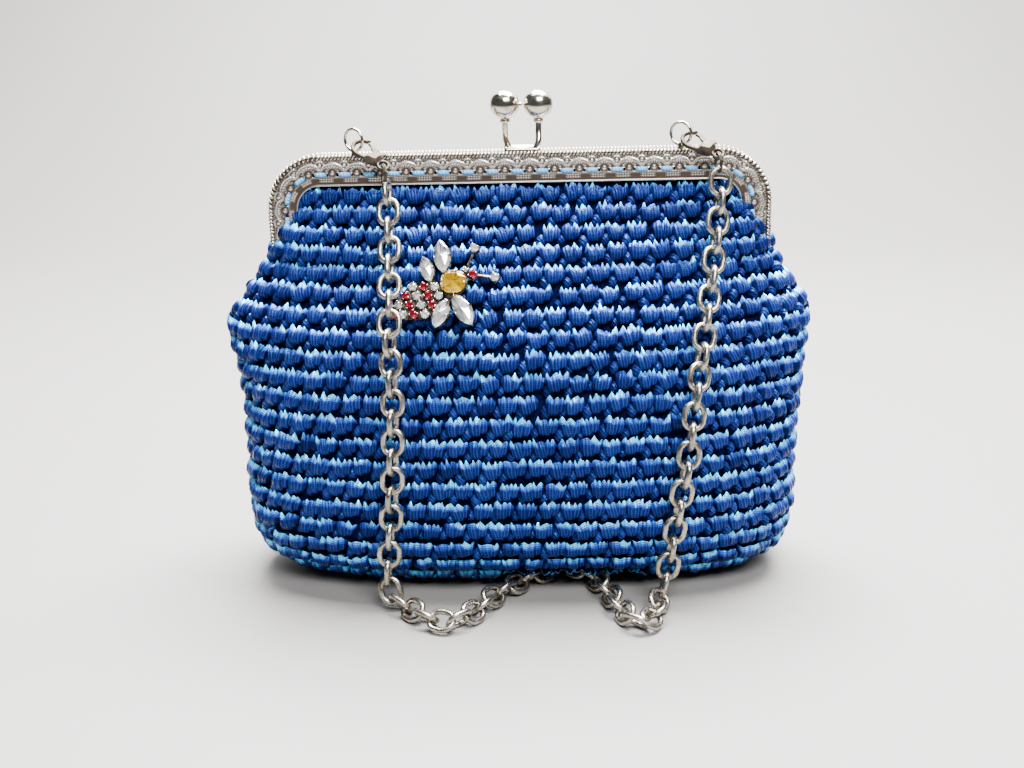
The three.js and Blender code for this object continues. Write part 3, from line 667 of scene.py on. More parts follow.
SECTIONS = (
    Section(0, 61, 1.5, 2.0, 0),
    Section(0, 82, 18.5, 2.6, 0),
    Section(3, 94, 26.5, 2.7, -0.5),
    Section(8, 103, 34.5, 2.8, -1),
    Section(14.5, 109, 40.5, 2.8, -1.5),
    Section(25, 112.5, 44.5, 2.8, -2),
    Section(46, 113, 45.5, 2.7, -1.8),
    Section(75, 114, 43.5, 2.5, -1),
    Section(98, 116.5, 39, 2.25, -1.5),
    Section(109, 117.5, 35.5, 2.1, -1.8),
    Section(120, 110.5, 30.5, 1.95, -0.6),
    Section(130, 103, 25.5, 1.9, 0),
    Section(137, 100, 21.5, 2.3, 0),
    Section(145, 97, 16.5, 2.6, 0),
    Section(151, 93, 12.6, 2.7, 0),
    Section(156, 90.5, 9, 2.8, 0),
    Section(160.5, 90, 6, 3.2, 0),
    Section(166, 89, 4.6, 5, 0),
    Section(171, 84.5, 4.6, 5, 0),
)


@dataclass(frozen=True)
class Dent:
    """The strap lies under the front edge of the base and pushes it up."""

    height: float = 9
    left: float = -17
    right: float = 54
    back: float = -5
    slope: float = 9

    def lift(self, x: np.ndarray, y: np.ndarray) -> np.ndarray:
        """Gives the lowest height of the base at each place.

        Args:
            x: places across.
            y: places front to back.

        Returns:
            Heights in mm.
        """
        across = ease((x - self.left) / self.slope) * ease((self.right - x) / self.slope)
        return self.height * across * ease((self.back - y) / self.slope)


@dataclass
class BagForm:
    """The smooth form under the stitches, by the distance along the wall from the middle of the base."""

    sections: tuple[Section, ...] = SECTIONS
    dent: Dent = field(default_factory=Dent)

    def __post_init__(self) -> None:
        """Works out the distances along the wall and its slopes, with a crease round the flat of the base."""
        self.table = np.array([astuple(section) for section in self.sections])
        steps = np.diff(self.table, axis=0)
        spread = (steps[:, 1] + steps[:, 2]) / 2
        self.distances = np.concatenate([[0.0], np.cumsum(np.hypot(steps[:, 0], spread))])
        numbers = np.arange(len(self.table))
        before, after = np.maximum(numbers - 1, 0), np.minimum(numbers + 1, numbers[-1])
        before[1] = 1
        runs = self.distances[after] - self.distances[before]
        self.slopes = (self.table[after] - self.table[before]) / runs[:, None]
        self.flat = self.distances[1]

    def section(self, distance: float) -> np.ndarray:
        """Gives the outline's numbers at a distance along the wall.

        Args:
            distance: mm from the middle of the base.

        Returns:
            Height, half width, half depth, squareness and centre.
        """
        i = int(np.searchsorted(self.distances, distance, side="right")) - 1
        i = min(max(i, 0), len(self.distances) - 2)
        span = self.distances[i + 1] - self.distances[i]
        t = (distance - self.distances[i]) / span
        low, high = self.table[i], self.table[i + 1]
        if i == 0:
            return low + (high - low) * t
        rise = t * t * (3 - 2 * t)
        leave = t * (1 - t) ** 2 * span * self.slopes[i]
        arrive = t * t * (t - 1) * span * self.slopes[i + 1]
        return low * (1 - rise) + high * rise + leave + arrive

    def ring(self, distance: float, count: int) -> np.ndarray:
        """Lists points round the body, from the right side by way of the back.

        Args:
            distance: mm from the middle of the base.
            count: number of points.

        Returns:
            The points.
        """
        z, half_width, half_depth, squareness, centre = self.section(distance)
        angle = full_turn(count)
        power = 2 / squareness
        x = centre + half_width * np.sign(np.cos(angle)) * np.abs(np.cos(angle)) ** power
        y = half_depth * np.sign(np.sin(angle)) * np.abs(np.sin(angle)) ** power
        return np.stack([x, y, np.maximum(z, self.dent.lift(x, y))], axis=1)

    def frames(self, distance: float, count: int) -> tuple[np.ndarray, np.ndarray, np.ndarray, np.ndarray]:
        """Gives places and directions round the body.

        Args:
            distance: mm from the middle of the base.
            count: number of points round.

        Returns:
            Places, and the directions along the round, up the wall and out of it.
        """
        step = 0.6
        here = self.ring(distance, count)
        along = unit(np.roll(here, -1, axis=0) - np.roll(here, 1, axis=0))
        top = self.distances[-1]
        rise = self.ring(min(distance + step, top), count) - self.ring(max(distance - step, 0), count)
        out = unit(np.cross(along, rise))
        return here, along, np.cross(out, along), out

    def rounds(self, pitch: float, first: float, last: float) -> list[float]:
        """Spaces the rounds evenly as they are seen on the front.

        Args:
            pitch: height of a round.
            first: distance where the rounds start.
            last: distance where they end.

        Returns:
            The distance along the wall of the middle of each round.
        """
        samples = 600
        fine = np.linspace(first, last, samples)
        run = run_along(np.array([self.section(d)[[0, 2]] for d in fine]))
        count = int(round(run[-1] / pitch))
        return [float(np.interp((k + 0.5) * run[-1] / count, run, fine)) for k in range(count)]


# A round of stitches stands off the wall as a roll: mm up the wall and out of it, from below upwards
ROLL = ((-1.2, 0.3), (-2.5, 1.6), (-2.5, 3.1), (-1.4, 4.2), (0.2, 4.6), (2.0, 4.25), (3.4, 3.5), (4.3, 2.6))


@dataclass(frozen=True)
class Lobe:
    """One fold of pleated ribbon with pointed tips; its places are in mm from the stitch's middle."""

    low: float
    high: float
    width: float
    below: float
    height: float
    pleats: int
    tip: float = 2.3
    ridge: float = 0.8
    columns: int = 12
    foot: float = 0.4
    painted_highlight_from: float = 0.72
    looseness: float = 0.4
    width_range: tuple[float, float] = (0.9, 1.15)
    height_range: tuple[float, float] = (0.9, 1.1)
    tip_range: tuple[float, float] = (0.3, 1.5)

    def patch(self, rng: np.random.Generator) -> Patch:
        """Builds the fold, a little different each time.

        Args:
            rng: the source of the differences.

        Returns:
            Points along the round, up the wall and out of it.
        """
        roll = np.array(ROLL)
        low, high = np.array([self.low, self.high]) + rng.normal(0, self.looseness, 2)
        width = self.width * rng.uniform(*self.width_range)
        # v runs up the roll from 0 to 1, and u across the fold from -1 to 1
        row, u = np.meshgrid(np.arange(len(roll)), np.linspace(-1, 1, self.columns + 1), indexing="ij")
        v = row / (len(roll) - 1)
        rise, out = roll[row, 0], roll[row, 1] * self.height * rng.uniform(*self.height_range)
        rise = np.where(rise < 0, rise * self.below, rise)
        rounded = np.sqrt(1 - np.abs(u) ** 3.2)
        # The pleats lie unevenly across the fold, each with a tip of its own
        drift = rng.uniform(-0.3, 0.3)
        wander = 0.25 * np.sin(2.2 * u + rng.uniform(0, 6))
        fold = self.pleats * (u + 1) / 2 + drift + wander
        ridge = 1 - np.abs(2 * (fold - np.floor(fold)) - 1) - 0.5
        tips = rng.uniform(*self.tip_range, self.pleats + 4)[np.floor(fold).astype(int) + 2]
        opened = np.clip((v - 0.4) / 0.6, 0, 1) ** 1.5
        spread = 0.4 + 0.6 * np.sin(np.pi * (0.1 + 0.6 * v))
        s = low + (high - low) * v + u * width / 2 * spread
        t = self.foot + (rise - self.foot) * (0.5 + 0.5 * rounded) + self.tip * tips * ridge * opened
        n = out * rounded ** (1 - 0.45 * v) + self.ridge * ridge * (0.15 + 0.85 * v) * rounded
        places = np.stack([u * width / 2, run_along(roll)[row]], axis=2).reshape(-1, 2)
        # The face is painted dark as shade, and the tips get painted highlights, palest on the ridges of the
        # pleats
        face = PAINTED_FACE_SHADE * ease((1 - np.abs(u)) / 0.45) * ease((v - 0.1) / 0.35)
        pale = ease((v - self.painted_highlight_from) / (1 - self.painted_highlight_from)) * tips
        tint = face + pale * (0.6 + 1.4 * (ridge + 0.5)) * (0.3 + 0.7 * rounded)
        points = np.stack([s, t, n], axis=2).reshape(-1, 3)
        return Patch(points, grid_quads(len(roll), self.columns + 1), places, tint.ravel())


@dataclass(frozen=True)
class Knot:
    """The small round turn of ribbon beside a stitch."""

    middle: tuple[float, float]
    radius: tuple[float, float]
    height: float
    sides: int = 10
    rows: int = 4
    looseness: float = 0.3
    size_range: tuple[float, float] = (0.8, 1.15)
    lean_range: tuple[float, float] = (-0.1, 0.5)
    # How much lighter the painted highlight on one side of the turn is
    shine: float = 0.22

    def patch(self, rng: np.random.Generator) -> Patch:
        """Builds the turn as a small dome.

        Args:
            rng: the source of small differences.

        Returns:
            Points along the round, up the wall and out of it.
        """
        scale = rng.uniform(*self.size_range)
        middle = np.array(self.middle) + rng.normal(0, self.looseness, 2)
        v, turn = np.meshgrid(np.linspace(0, 1, self.rows + 1), full_turn(self.sides), indexing="ij")
        share = np.cos(v * np.pi / 2)
        t = self.radius[1] * scale * share * np.sin(turn)
        s = middle[0] + self.radius[0] * scale * share * np.cos(turn) + rng.uniform(*self.lean_range) * t
        t = middle[1] + t
        n = self.height * scale * np.sin(v * np.pi / 2) ** 0.8
        points = np.stack([s, t, n], axis=2).reshape(-1, 3)
        # The ribbon's threads run slanting over the turn
        places = np.stack([s + t, t - s], axis=2).reshape(-1, 2) * 0.7
        # Painted shade on the turn, with a painted highlight on one side
        tint = PAINTED_FACE_SHADE + self.shine * np.clip(np.sin(turn + 0.6), -0.2, 1) * share
        return Patch(points, grid_quads(self.rows + 1, self.sides, True), places, tint.ravel())


STITCH = (
    Lobe(1.5, 2.4, 5.3, 0.6, 0.94, 2),
    Lobe(0.1, -1.1, 6.1, 1.0, 1.0, 2),
    Knot((-3.7, -2.0), (2.2, 3.0), 3.3),
)
EDGE_STITCH = (
    Lobe(3.2, 1.3, 5.0, 1.2, 0.95, 1),
    Lobe(-1.2, -3.0, 5.4, 1.2, 1.0, 1),
    Knot((-4.4, -3.4), (1.4, 1.7), 3.0),
)


@dataclass(frozen=True)
class HandWork:
    """How far one stitch differs from the next: pitches along, mm up and out, its turn, size and tint."""

    along: float = 0.05
    up: float = 0.3
    out: float = 0.2
    turn: float = 0.09
    size: float = 0.06
    tint: float = 0.22
    tint_range: tuple[float, float] = (0.3, 1.5)
    # Each stitch is drawn from another place on this length of ribbon
    ribbon_mm: float = 40


@dataclass
class CrochetBody:
    """The bag's crochet: a dark inner wall with stitches of ribbon in rounds."""

    form: BagForm
    hand: HandWork = field(default_factory=HandWork)
    row_pitch: float = 8.6
    stitch_pitch: float = 8.75
    variants: int = 14
    depth: float = 2.5
    shift: float = 0.27
    pieces: int = 4
    first_round: float = 4
    fewest: int = 8
    edge_height: float = 7
    pressed: float = 0.6
    lowest: float = 0.05
    wall_lowest: float = 0.6
    wall_points: int = 96
    wall_rings: int = 70

    def inner_wall(self) -> bpy.types.Object:
        """Builds the wall behind the stitches.

        Returns:
            The piece that stands for the body's solid.
        """
        # A small first ring closes the middle of the base
        stops = np.concatenate([[0.5], np.linspace(3, self.form.distances[-1], self.wall_rings)])
        rings = []
        for distance in stops:
            here, _, _, out = self.form.frames(distance, self.wall_points)
            ring = here - self.depth * out
            ring[:, 2] = np.maximum(ring[:, 2], self.wall_lowest)
            rings.append(ring)
        middle = np.repeat(rings[0].mean(axis=0)[None], self.wall_points, axis=0)
        points = np.concatenate([middle] + rings)
        patch = Patch(points, grid_quads(len(rings) + 1, self.wall_points, True))
        return mesh_object("crochet_inner_wall", patch, YARN_SHADE)

    def templates(self, parts: tuple, rng: np.random.Generator) -> list[Patch]:
        """Makes a set of stitches that differ a little, from the folds and knots of one."""
        return [joined([part.patch(rng) for part in parts]) for _ in range(self.variants)]

    def round_of(self, distance: float, number: int, made: list[Patch], rng: np.random.Generator) -> Patch:
        """Places one round of stitches.

        Args:
            distance: mm along the wall to the round's middle.
            number: the round's number from the base.
            made: the stitches to choose from.
            rng: the source of the differences.

        Returns:
            The round's patch.
        """
        hand = self.hand
        closed = [np.concatenate([f, f[:1]]) for f in self.form.frames(distance, RING_POINTS)]
        run = run_along(closed[0])
        count = max(int(round(run[-1] / self.stitch_pitch)), self.fewest)
        wanted = (np.arange(count) + self.shift * number + rng.normal(0, hand.along, count)) * run[-1] / count
        here, along, up, out = (at_run(wanted % run[-1], run, f)[:, None] for f in closed)
        stretch = run[-1] / count / self.stitch_pitch
        chosen = [made[i] for i in rng.integers(0, len(made), count)]
        base = np.stack([stitch.points for stitch in chosen])
        scale = rng.uniform(1 - hand.size, 1 + hand.size, (count, 1))
        turn = rng.normal(0, hand.turn, (count, 1))
        s = (base[..., 0] * np.cos(turn) - base[..., 1] * np.sin(turn)) * stretch * scale
        t = (base[..., 0] * np.sin(turn) + base[..., 1] * np.cos(turn)) * scale
        t += rng.normal(0, hand.up, (count, 1))
        # The bag's weight presses the stitches under its base
        n = base[..., 2] * scale * (self.pressed if distance < self.form.flat else 1)
        n += rng.normal(0, hand.out, (count, 1)) - self.depth
        points = here + s[..., None] * along + t[..., None] * up + n[..., None] * out
        points[..., 2] = np.maximum(points[..., 2], self.lowest)
        size = base.shape[1]
        quads = (made[0].quads[None] + (np.arange(count) * size)[:, None, None]).reshape(-1, 4)
        moved = np.repeat(rng.uniform(0, hand.ribbon_mm, (count, 2)), size, axis=0)
        places = np.concatenate([stitch.places for stitch in chosen]) + moved
        lit = np.clip(rng.normal(1, hand.tint, (count, 1)), *hand.tint_range)
        tint = np.stack([stitch.values for stitch in chosen]) * lit
        return Patch(points.reshape(-1, 3), quads, places, tint.ravel())

    def build(self) -> None:
        """Builds the inner wall and the rounds of stitches, which end below the mouth's rim."""
        rng = np.random.default_rng(SEED)
        wall = self.inner_wall()
        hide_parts("crochet_body")
        show(wall)
        plain = self.templates(STITCH, rng)
        edge = self.templates(EDGE_STITCH, rng)
        rounds = []
        distances = self.form.rounds(self.row_pitch, self.first_round, self.form.distances[-3])
        for number, distance in enumerate(distances):
            made = edge if self.form.section(distance)[0] < self.edge_height else plain
            rounds.append(self.round_of(distance, number, made, rng))
        share = math.ceil(len(rounds) / self.pieces)
        for i in range(0, len(rounds), share):
            name = f"crochet_rounds_{i // share + 1}"
            show(mesh_object(name, joined(rounds[i : i + share]), RIBBON))


# The purse frame


@dataclass
class Arch:
    """The frame's arch, by the distance along its middle line and the depth from its outer edge, in mm."""

    width: float = 200
    height: float = 36
    top: float = 174
    band: float = 12
    radius: float = 21

    def __post_init__(self) -> None:
        """Works out the lengths of leg, corner and whole arch."""
        self.leg = self.height - self.radius
        self.corner = (self.radius - self.band / 2) * math.pi / 2
        self.length = 2 * (self.leg + self.corner) + self.width - 2 * self.radius

    def place(self, distance: np.ndarray, depth: np.ndarray) -> tuple[np.ndarray, np.ndarray]:
        """Gives places on the arch.

        Args:
            distance: distances along the middle line, from the left leg's end.
            depth: depths from the outer edge.

        Returns:
            Places across and heights.
        """
        side = np.where(distance < self.length / 2, -1, 1)
        along = np.minimum(distance, self.length - distance)
        turn = np.clip((along - self.leg) / self.corner, 0, 1) * math.pi / 2
        inner = self.radius - depth
        x = self.width / 2 - self.radius + inner * np.cos(turn)
        z = self.top - self.radius + inner * np.sin(turn) + np.minimum(along - self.leg, 0)
        beyond = np.maximum(along - self.leg - self.corner, 0)
        return side * (x - beyond), z


@dataclass(frozen=True)
class Raised:
    """A raised line or boss of the relief: its height, where its middle is and its half width, in mm."""

    height: float
    middle: float
    half_width: float

    def over(self, distance: np.ndarray) -> np.ndarray:
        """Gives its height by the distance from where it is measured."""
        return self.height * np.exp(-(((distance - self.middle) / self.half_width) ** 2))


@dataclass(frozen=True)
class Relief:
    """The stamped ornament of the frame's plate, as a height over the sheet, in mm."""

    periods: int = 24
    rim: float = 1.8
    arch_top: float = 2.9
    arch_foot: float = 6.7
    hole_depth: float = 7.4
    hole_half: float = 0.7
    hole_place: float = 0.21
    hole_share: float = 0.055
    lower: float = 8.35
    half_period: float = 4.9
    highest: float = 0.6
    bead_count: int = 11
    fan_rays: int = 16
    corner_depth: float = 3.7
    dots_half: float = 2.9
    ground: float = 0.1
    bow_line: Raised = Raised(0.5, 0, 0.3)
    bow_beads: Raised = Raised(0.3, 0.55, 0.25)
    inner_line: Raised = Raised(0.34, 1.05, 0.22)
    fan: Raised = Raised(0.32, 2.3, 0.7)
    fan_boss: Raised = Raised(0.42, 0, 0.8)
    corner_boss: Raised = Raised(0.45, 0, 0.75)
    corner_ring: Raised = Raised(0.26, 1.6, 0.28)
    rim_beads: Raised = Raised(0.34, 2.25, 0.26)
    dot_rows: tuple[Raised, ...] = (Raised(0.4, 9, 0.24), Raised(0.4, 9.85, 0.24))
    band_lines: tuple[Raised, ...] = (Raised(0.2, 8.45, 0.15), Raised(0.3, 11.7, 0.25))

    def height(self, turn: np.ndarray, depth: np.ndarray) -> np.ndarray:
        """Gives the height of the ornament.

        Args:
            turn: number of periods along the arch; a scallop's middle is at a whole number and a half.
            depth: depth from the outer edge.

        Returns:
            Heights from 0 to about 0.6.
        """

        def wave(phase: np.ndarray) -> np.ndarray:
            """Gives a wave from 0 to 1, at its top where the phase is a whole number."""
            return 0.5 + 0.5 * np.cos(2 * np.pi * phase)

        phase = turn - np.floor(turn)
        centred = 2 * phase - 1
        across = centred * self.half_period
        beads = wave(turn * self.bead_count)
        # A fan under a bow, framed by lines and beads
        bow = self.arch_foot - (self.arch_foot - self.arch_top) * np.sqrt(np.clip(1 - centred**2, 0, 1))
        under = depth - bow
        reach = np.hypot(across, self.arch_foot - depth)
        rays = wave(self.fan_rays * np.arctan2(self.arch_foot - depth, across) / (2 * np.pi))
        inside = self.inner_line.over(under) + beads * self.bow_beads.over(under)
        inside += rays * self.fan.over(reach) + self.fan_boss.over(reach)
        # A boss in a ring in each corner between two bows
        corner = np.hypot(self.half_period - np.abs(across), depth - self.corner_depth)
        scallop = self.bow_line.over(under) + self.corner_boss.over(corner)
        scallop += np.where(under > 0, inside, self.corner_ring.over(corner))
        scallop += beads * self.rim_beads.over(depth)
        # Rows of dots, in groups, on the band below the holes
        column = np.abs(((phase + 0.25) % 1.0) - 0.5) * 2 * self.half_period
        dots = (column < self.dots_half) * wave(column)
        band = self.ground + dots * sum(row.over(depth) for row in self.dot_rows)
        band += sum(line.over(depth) for line in self.band_lines)
        return np.where(depth < self.lower, np.clip(scallop, 0, self.highest), band) * (depth > self.rim)

    def is_hole(self, turn: np.ndarray, depth: np.ndarray) -> np.ndarray:
        """Tells where the needle holes are, at both ends of each stitch of thread."""
        from_place = np.abs(np.abs(turn - np.floor(turn) - 0.5) - self.hole_place)
        return (from_place < self.hole_share) & (np.abs(depth - self.hole_depth) < self.hole_half)


@dataclass(frozen=True)
class Half:
    """What one half of the frame carries: its ball's place across, the nub on it and its strap loops."""

    node: str
    ball_x: float
    nub: bool
    loops: tuple[float, ...]
    facing: tuple[int, int, int]


# The back half is the front half turned round
HALVES = (
    Half("frame_front", 8.6, False, (-64.2, 64.2), (1, 1, 1)),
    Half("frame_back", 4.6, True, (), (-1, -1, 1)),
)


@dataclass
class PurseFrame:
    """The two halves of the frame with rope rim, kiss-lock, strap loops and sewing thread."""

    arch: Arch = field(default_factory=Arch)
    relief: Relief = field(default_factory=Relief)
    face: float = 6
    half_gap: float = 0.3
    plate: float = 0.9
    steps: int = 36
    relief_rows: int = 44
    rope_pitch: float = 1.4
    rope_depth: float = 0.85
    rope_slant: float = 0.55
    rope_bead: tuple[float, float, float] = (0.56, 0.95, 1.3)
    ball: float = 5.8
    ball_y: float = -0.5
    ball_rise: float = 18
    stem: float = 1.2
    stem_y: float = -3.4
    foot: float = 1.5
    nub: float = 0.9
    loop_radius: float = 4.3
    # The wire is as thin as the solid's, so that the clasp's lever clears it as it opens
    loop_wire: float = 0.62
    loop_turn: float = -30
    thread_half: tuple[float, float] = (2.8, 1.15)
    thread_lift: float = 1.2

    def sheet(self) -> Patch:
        """Builds the stamped sheet of the front half, with its needle holes and its top flange.

        Returns:
            The patch; its values are the height of the relief.
        """
        stations = np.linspace(0, self.arch.length, self.relief.periods * self.steps + 1)
        # Depth from the outer edge, distance from the middle and share of the relief of each row
        rows = [(0.5, self.half_gap, 0), (0.5, 3.0, 0), (0.25, self.face - 0.2, 0)]
        rows += [(d, self.face, 1) for d in np.linspace(0.1, self.arch.band - 0.05, self.relief_rows)]
        rows += [(self.arch.band, self.face - 0.1, 0), (self.arch.band, self.face - self.plate, 0)]
        row, station = np.meshgrid(np.arange(len(rows)), stations, indexing="ij")
        depths, out, raised = (column[row] for column in np.array(rows).T)
        turn = station / self.arch.length * self.relief.periods
        height = self.relief.height(turn, depths) * raised
        x, z = self.arch.place(station, depths)
        points = np.stack([x, -(out + height), z], axis=2).reshape(-1, 3)
        quads = grid_quads(len(rows), len(stations))
        middle_turn, middle_depth = (values.ravel()[quads].mean(axis=1) for values in (turn, depths))
        stamped = raised.ravel()[quads].min(axis=1) > 0
        kept = ~(self.relief.is_hole(middle_turn, middle_depth) & stamped)
        # The hollows and the flat band take the dark tone: tarnished, with painted shade
        tone = np.clip((height.ravel() - 0.1) / 0.3, 0, 1)
        return Patch(points, quads[kept], None, tone)

    def rope(self) -> Patch:
        """Builds the twisted rope along the outer edge.

        Returns:
            The patch of all turns of the rope.
        """
        count = int(self.arch.length / self.rope_pitch)
        bead = lathe(ball_profile(1.0, 6), 8, (0, 0, 0))
        depth = np.full(count, self.rope_depth)
        distance = (np.arange(count) + 0.5) * self.arch.length / count
        x, z = self.arch.place(distance, depth)
        ahead_x, ahead_z = self.arch.place(np.minimum(distance + 0.2, self.arch.length), depth)
        along = unit(np.stack([ahead_x - x, np.zeros(count), ahead_z - z], axis=1))
        out = np.array([0.0, -1.0, 0.0])
        slant = unit(np.cross(out, along) + self.rope_slant * along)
        thin = np.cross(slant, out)
        thickness, depth_out, length = (bead.points[None, :, [k]] * self.rope_bead[k] for k in range(3))
        centres = np.stack([x, np.full(count, -self.face - 0.05), z], axis=1)[:, None]
        points = centres + length * slant[:, None] + thickness * thin[:, None] + depth_out * out
        starts = (np.arange(count) * len(bead.points))[:, None, None]
        return Patch(points.reshape(-1, 3), (bead.quads[None] + starts).reshape(-1, 4))

    def lock(self, ball_x: float, nub: bool) -> Patch:
        """Builds one ball of the kiss-lock on its collar and stem, for the front half.

        Args:
            ball_x: the ball's place across.
            nub: whether the small nub between the balls is on it.

        Returns:
            The patch.
        """
        top = self.arch.top
        centre = top + self.ball_rise
        ring = [(1.2, -1.0), (1.9, -0.7), (2.1, 0.0), (1.9, 0.5), (1.5, 0.9)]
        bend = [
            (ball_x, self.ball_y, centre - 3),
            (ball_x, -1.1, top + 8),
            (ball_x - 0.2, -2.9, top + 3.4),
            (ball_x - 1.8, self.stem_y, top + 0.9),
            (ball_x - 4.5, self.stem_y, top + 0.4),
            (ball_x - 13, self.stem_y, top + 0.4),
        ]
        ends = [(ball_x + x, self.stem_y, top + 0.5) for x in (-13.4, 0.6)]
        parts = [
            lathe(ball_profile(self.ball, 18), 36, (ball_x, self.ball_y, centre)),
            lathe(ring, 24, (ball_x, self.ball_y - 0.1, centre - 6.2)),
            tube(smooth_path(bend, 0.7), self.stem, 12),
            tube(smooth_path(ends, 1.0), self.foot, 10),
        ]
        if nub:
            parts.append(lathe(ball_profile(self.nub, 8), 12, (ball_x - 6.1, self.ball_y, centre)))
        return joined(parts)

    def loop(self, x: float) -> Patch:
        """Builds one strap loop on its post.

        Args:
            x: its place across.

        Returns:
            The patch.
        """
        angle = math.radians(self.loop_turn)
        level, upright = np.array([math.cos(angle), math.sin(angle), 0]), np.array([0, 0, 1.0])
        turn = full_turn(40)[:, None]
        centre = np.array([x, -5.6, self.arch.top + 6])
        ring = centre + self.loop_radius * (np.cos(turn) * level + np.sin(turn) * upright)
        profile = [(1.4, -1.0), (1.3, 0.6), (1.1, 1.2), (1.1, 2.2), (0.6, 2.6)]
        return joined([tube(ring, self.loop_wire, 12, True), lathe(profile, 16, (x, -5.3, self.arch.top))])

    def thread(self) -> Patch:
        """Builds the stitches of thread that sew the bag to the plate, from hole to hole.

        Returns:
            The patch.
        """
        rows, columns = 9, 13
        half_length, half_width = self.thread_half
        v, u = np.meshgrid(np.linspace(-1, 1, rows), np.linspace(-1, 1, columns), indexing="ij")
        # Each stitch is full in the middle and dips into the holes at its ends
        full = np.sqrt(np.clip(1 - v**2, 0, 1)) * np.clip(1.25 * (1 - np.abs(u) ** 3), 0, 1)
        y = -(self.face + self.thread_lift * full - 0.45 - 0.9 * np.abs(u) ** 8)
        depth = self.relief.hole_depth + v * half_width * np.sqrt(1 - 0.55 * u**2)
        places = np.stack([u * 3.0, v * 1.5], axis=2).reshape(-1, 2)
        # Painted shade: each stitch of thread is darker along its edge away from the rim and at its ends,
        # where it dips into the holes
        tint = (0.65 - 0.45 * v - 0.3 * u**4).ravel()
        period = self.arch.length / self.relief.periods
        parts = []
        for i in range(1, self.relief.periods):
            x, z = self.arch.place(i * period + u * half_length, depth)
            points = np.stack([x, y, z], axis=2).reshape(-1, 3)
            parts.append(Patch(points, grid_quads(rows, columns), places, tint))
        return joined(parts)

    def build(self) -> None:
        """Builds both halves."""
        for half in HALVES:
            sheet = self.sheet()
            loops = [self.loop(x) for x in half.loops]
            fittings = joined([self.rope(), self.lock(half.ball_x, half.nub)] + loops)
            pieces = (
                ("plate", sheet, STAMPED, Slot.NICKEL, "relief"),
                ("fittings", fittings, NICKEL, Slot.NICKEL, "tint"),
                ("thread", self.thread(), THREAD, Slot.RIBBON, "tint"),
            )
            for name, patch, finish, slot, value_name in pieces:
                patch.points = patch.points * np.array(half.facing)
                piece = mesh_object(f"{half.node}_{name}", patch, finish, value_name)
                if patch is sheet:
                    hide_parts(half.node)
                show(piece)


# The chain strap


# Height of the chain's middle line where it lies on the floor, and its route, in mm
LYING = 4.35
CHAIN_ROUTE = (
    (-50.8, -13.6, 161.6),
    (-50.2, -18, 151),
    (-49.6, -26, 136),
    (-49.2, -36.4, 122),
    (-48.9, -42.2, 111),
    (-48.5, -45.2, 98),
    (-48.3, -47.2, 84),
    (-48.9, -49, 66),
    (-50.2, -50.2, 44),
    (-52, -50.6, 24),
    (-53, -51, 12),
    (-51, -53, 5.6),
    (-46, -58, LYING),
    (-37, -67, LYING),
    (-28, -72, LYING),
    (-20, -65.5, LYING),
    (-12.5, -51.5, LYING),
    (-5, -41, LYING),
    (4, -30.5, LYING),
    (17, -22, LYING),
    (27.5, -31, LYING),
    (34, -46.5, LYING),
    (38, -60, LYING),
    (42.5, -70.5, LYING),
    (47.5, -73, LYING),
    (51, -66, LYING),
    (53, -57, LYING),
    (55, -51.5, 6.5),
    (57, -49.6, 15),
    (59, -49.6, 27),
    (62, -49.4, 45),
    (65, -47.8, 62),
    (67.3, -45.2, 80),
    (69.8, -40.4, 96),
    (72, -34.6, 110),
    (74.2, -28, 123),
    (76.6, -21.2, 139),
    (78.4, -16, 154),
    (79, -13.6, 163.6),
)


@dataclass
class ChainStrap:
    """The strap's chain: oval links, each turned a quarter from the one before."""

    length: float = 12.2
    width: float = 9.9
    wire: float = 2.25
    pitch: float = 7.72
    end_gap: float = 1.6
    route_step: float = 0.5
    look_ahead: float = 3
    lying_below: float = 9
    lying_turn: float = 45
    hanging_turn: float = 8
    twist: float = 0.1

    def link(self) -> Patch:
        """Builds one link along X, flat in X and Y.

        Returns:
            The link's patch.
        """
        steps = 13
        radius = (self.width - self.wire) / 2
        straight = (self.length - self.width) / 2
        turn = np.linspace(-np.pi / 2, np.pi / 2, steps)
        right = np.stack([straight + radius * np.cos(turn), radius * np.sin(turn), np.zeros(steps)], axis=1)
        return tube(np.concatenate([right, -right]), self.wire / 2, 10, True)

    def build(self) -> None:
        """Lays the links along the route."""
        rng = np.random.default_rng(SEED + 1)
        path = smooth_path(list(CHAIN_ROUTE), self.route_step)
        run = run_along(path)
        count = int(round((run[-1] - 2 * self.end_gap) / self.pitch)) + 1
        one = self.link()
        parts = []
        for i, distance in enumerate(np.linspace(self.end_gap, run[-1] - self.end_gap, count)):
            stretch = (-self.look_ahead, 0, self.look_ahead)
            low, here, high = (at_run(distance + shift, run, path) for shift in stretch)
            ahead = unit(high - low)
            lying = here[2] < self.lying_below
            side = unit(np.cross([0.0, 0.0, 1.0] if lying else [0.0, -1.0, 0.25], ahead))
            up = np.cross(ahead, side)
            first = math.radians(self.lying_turn if lying else self.hanging_turn)
            turn = first + ((i + 1) % 2) * math.pi / 2 + rng.normal(0, self.twist)
            across = math.cos(turn) * side + math.sin(turn) * up
            points = here + one.points @ np.stack([ahead, across, np.cross(ahead, across)])
            parts.append(Patch(points, one.quads))
        piece = mesh_object("chain_links", joined(parts), CHAIN_NICKEL)
        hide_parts("chain_strap")
        show(piece)
        LOG.info("chain: %d links over %.0f mm", count, run[-1])


# The bee brooch and the small metal


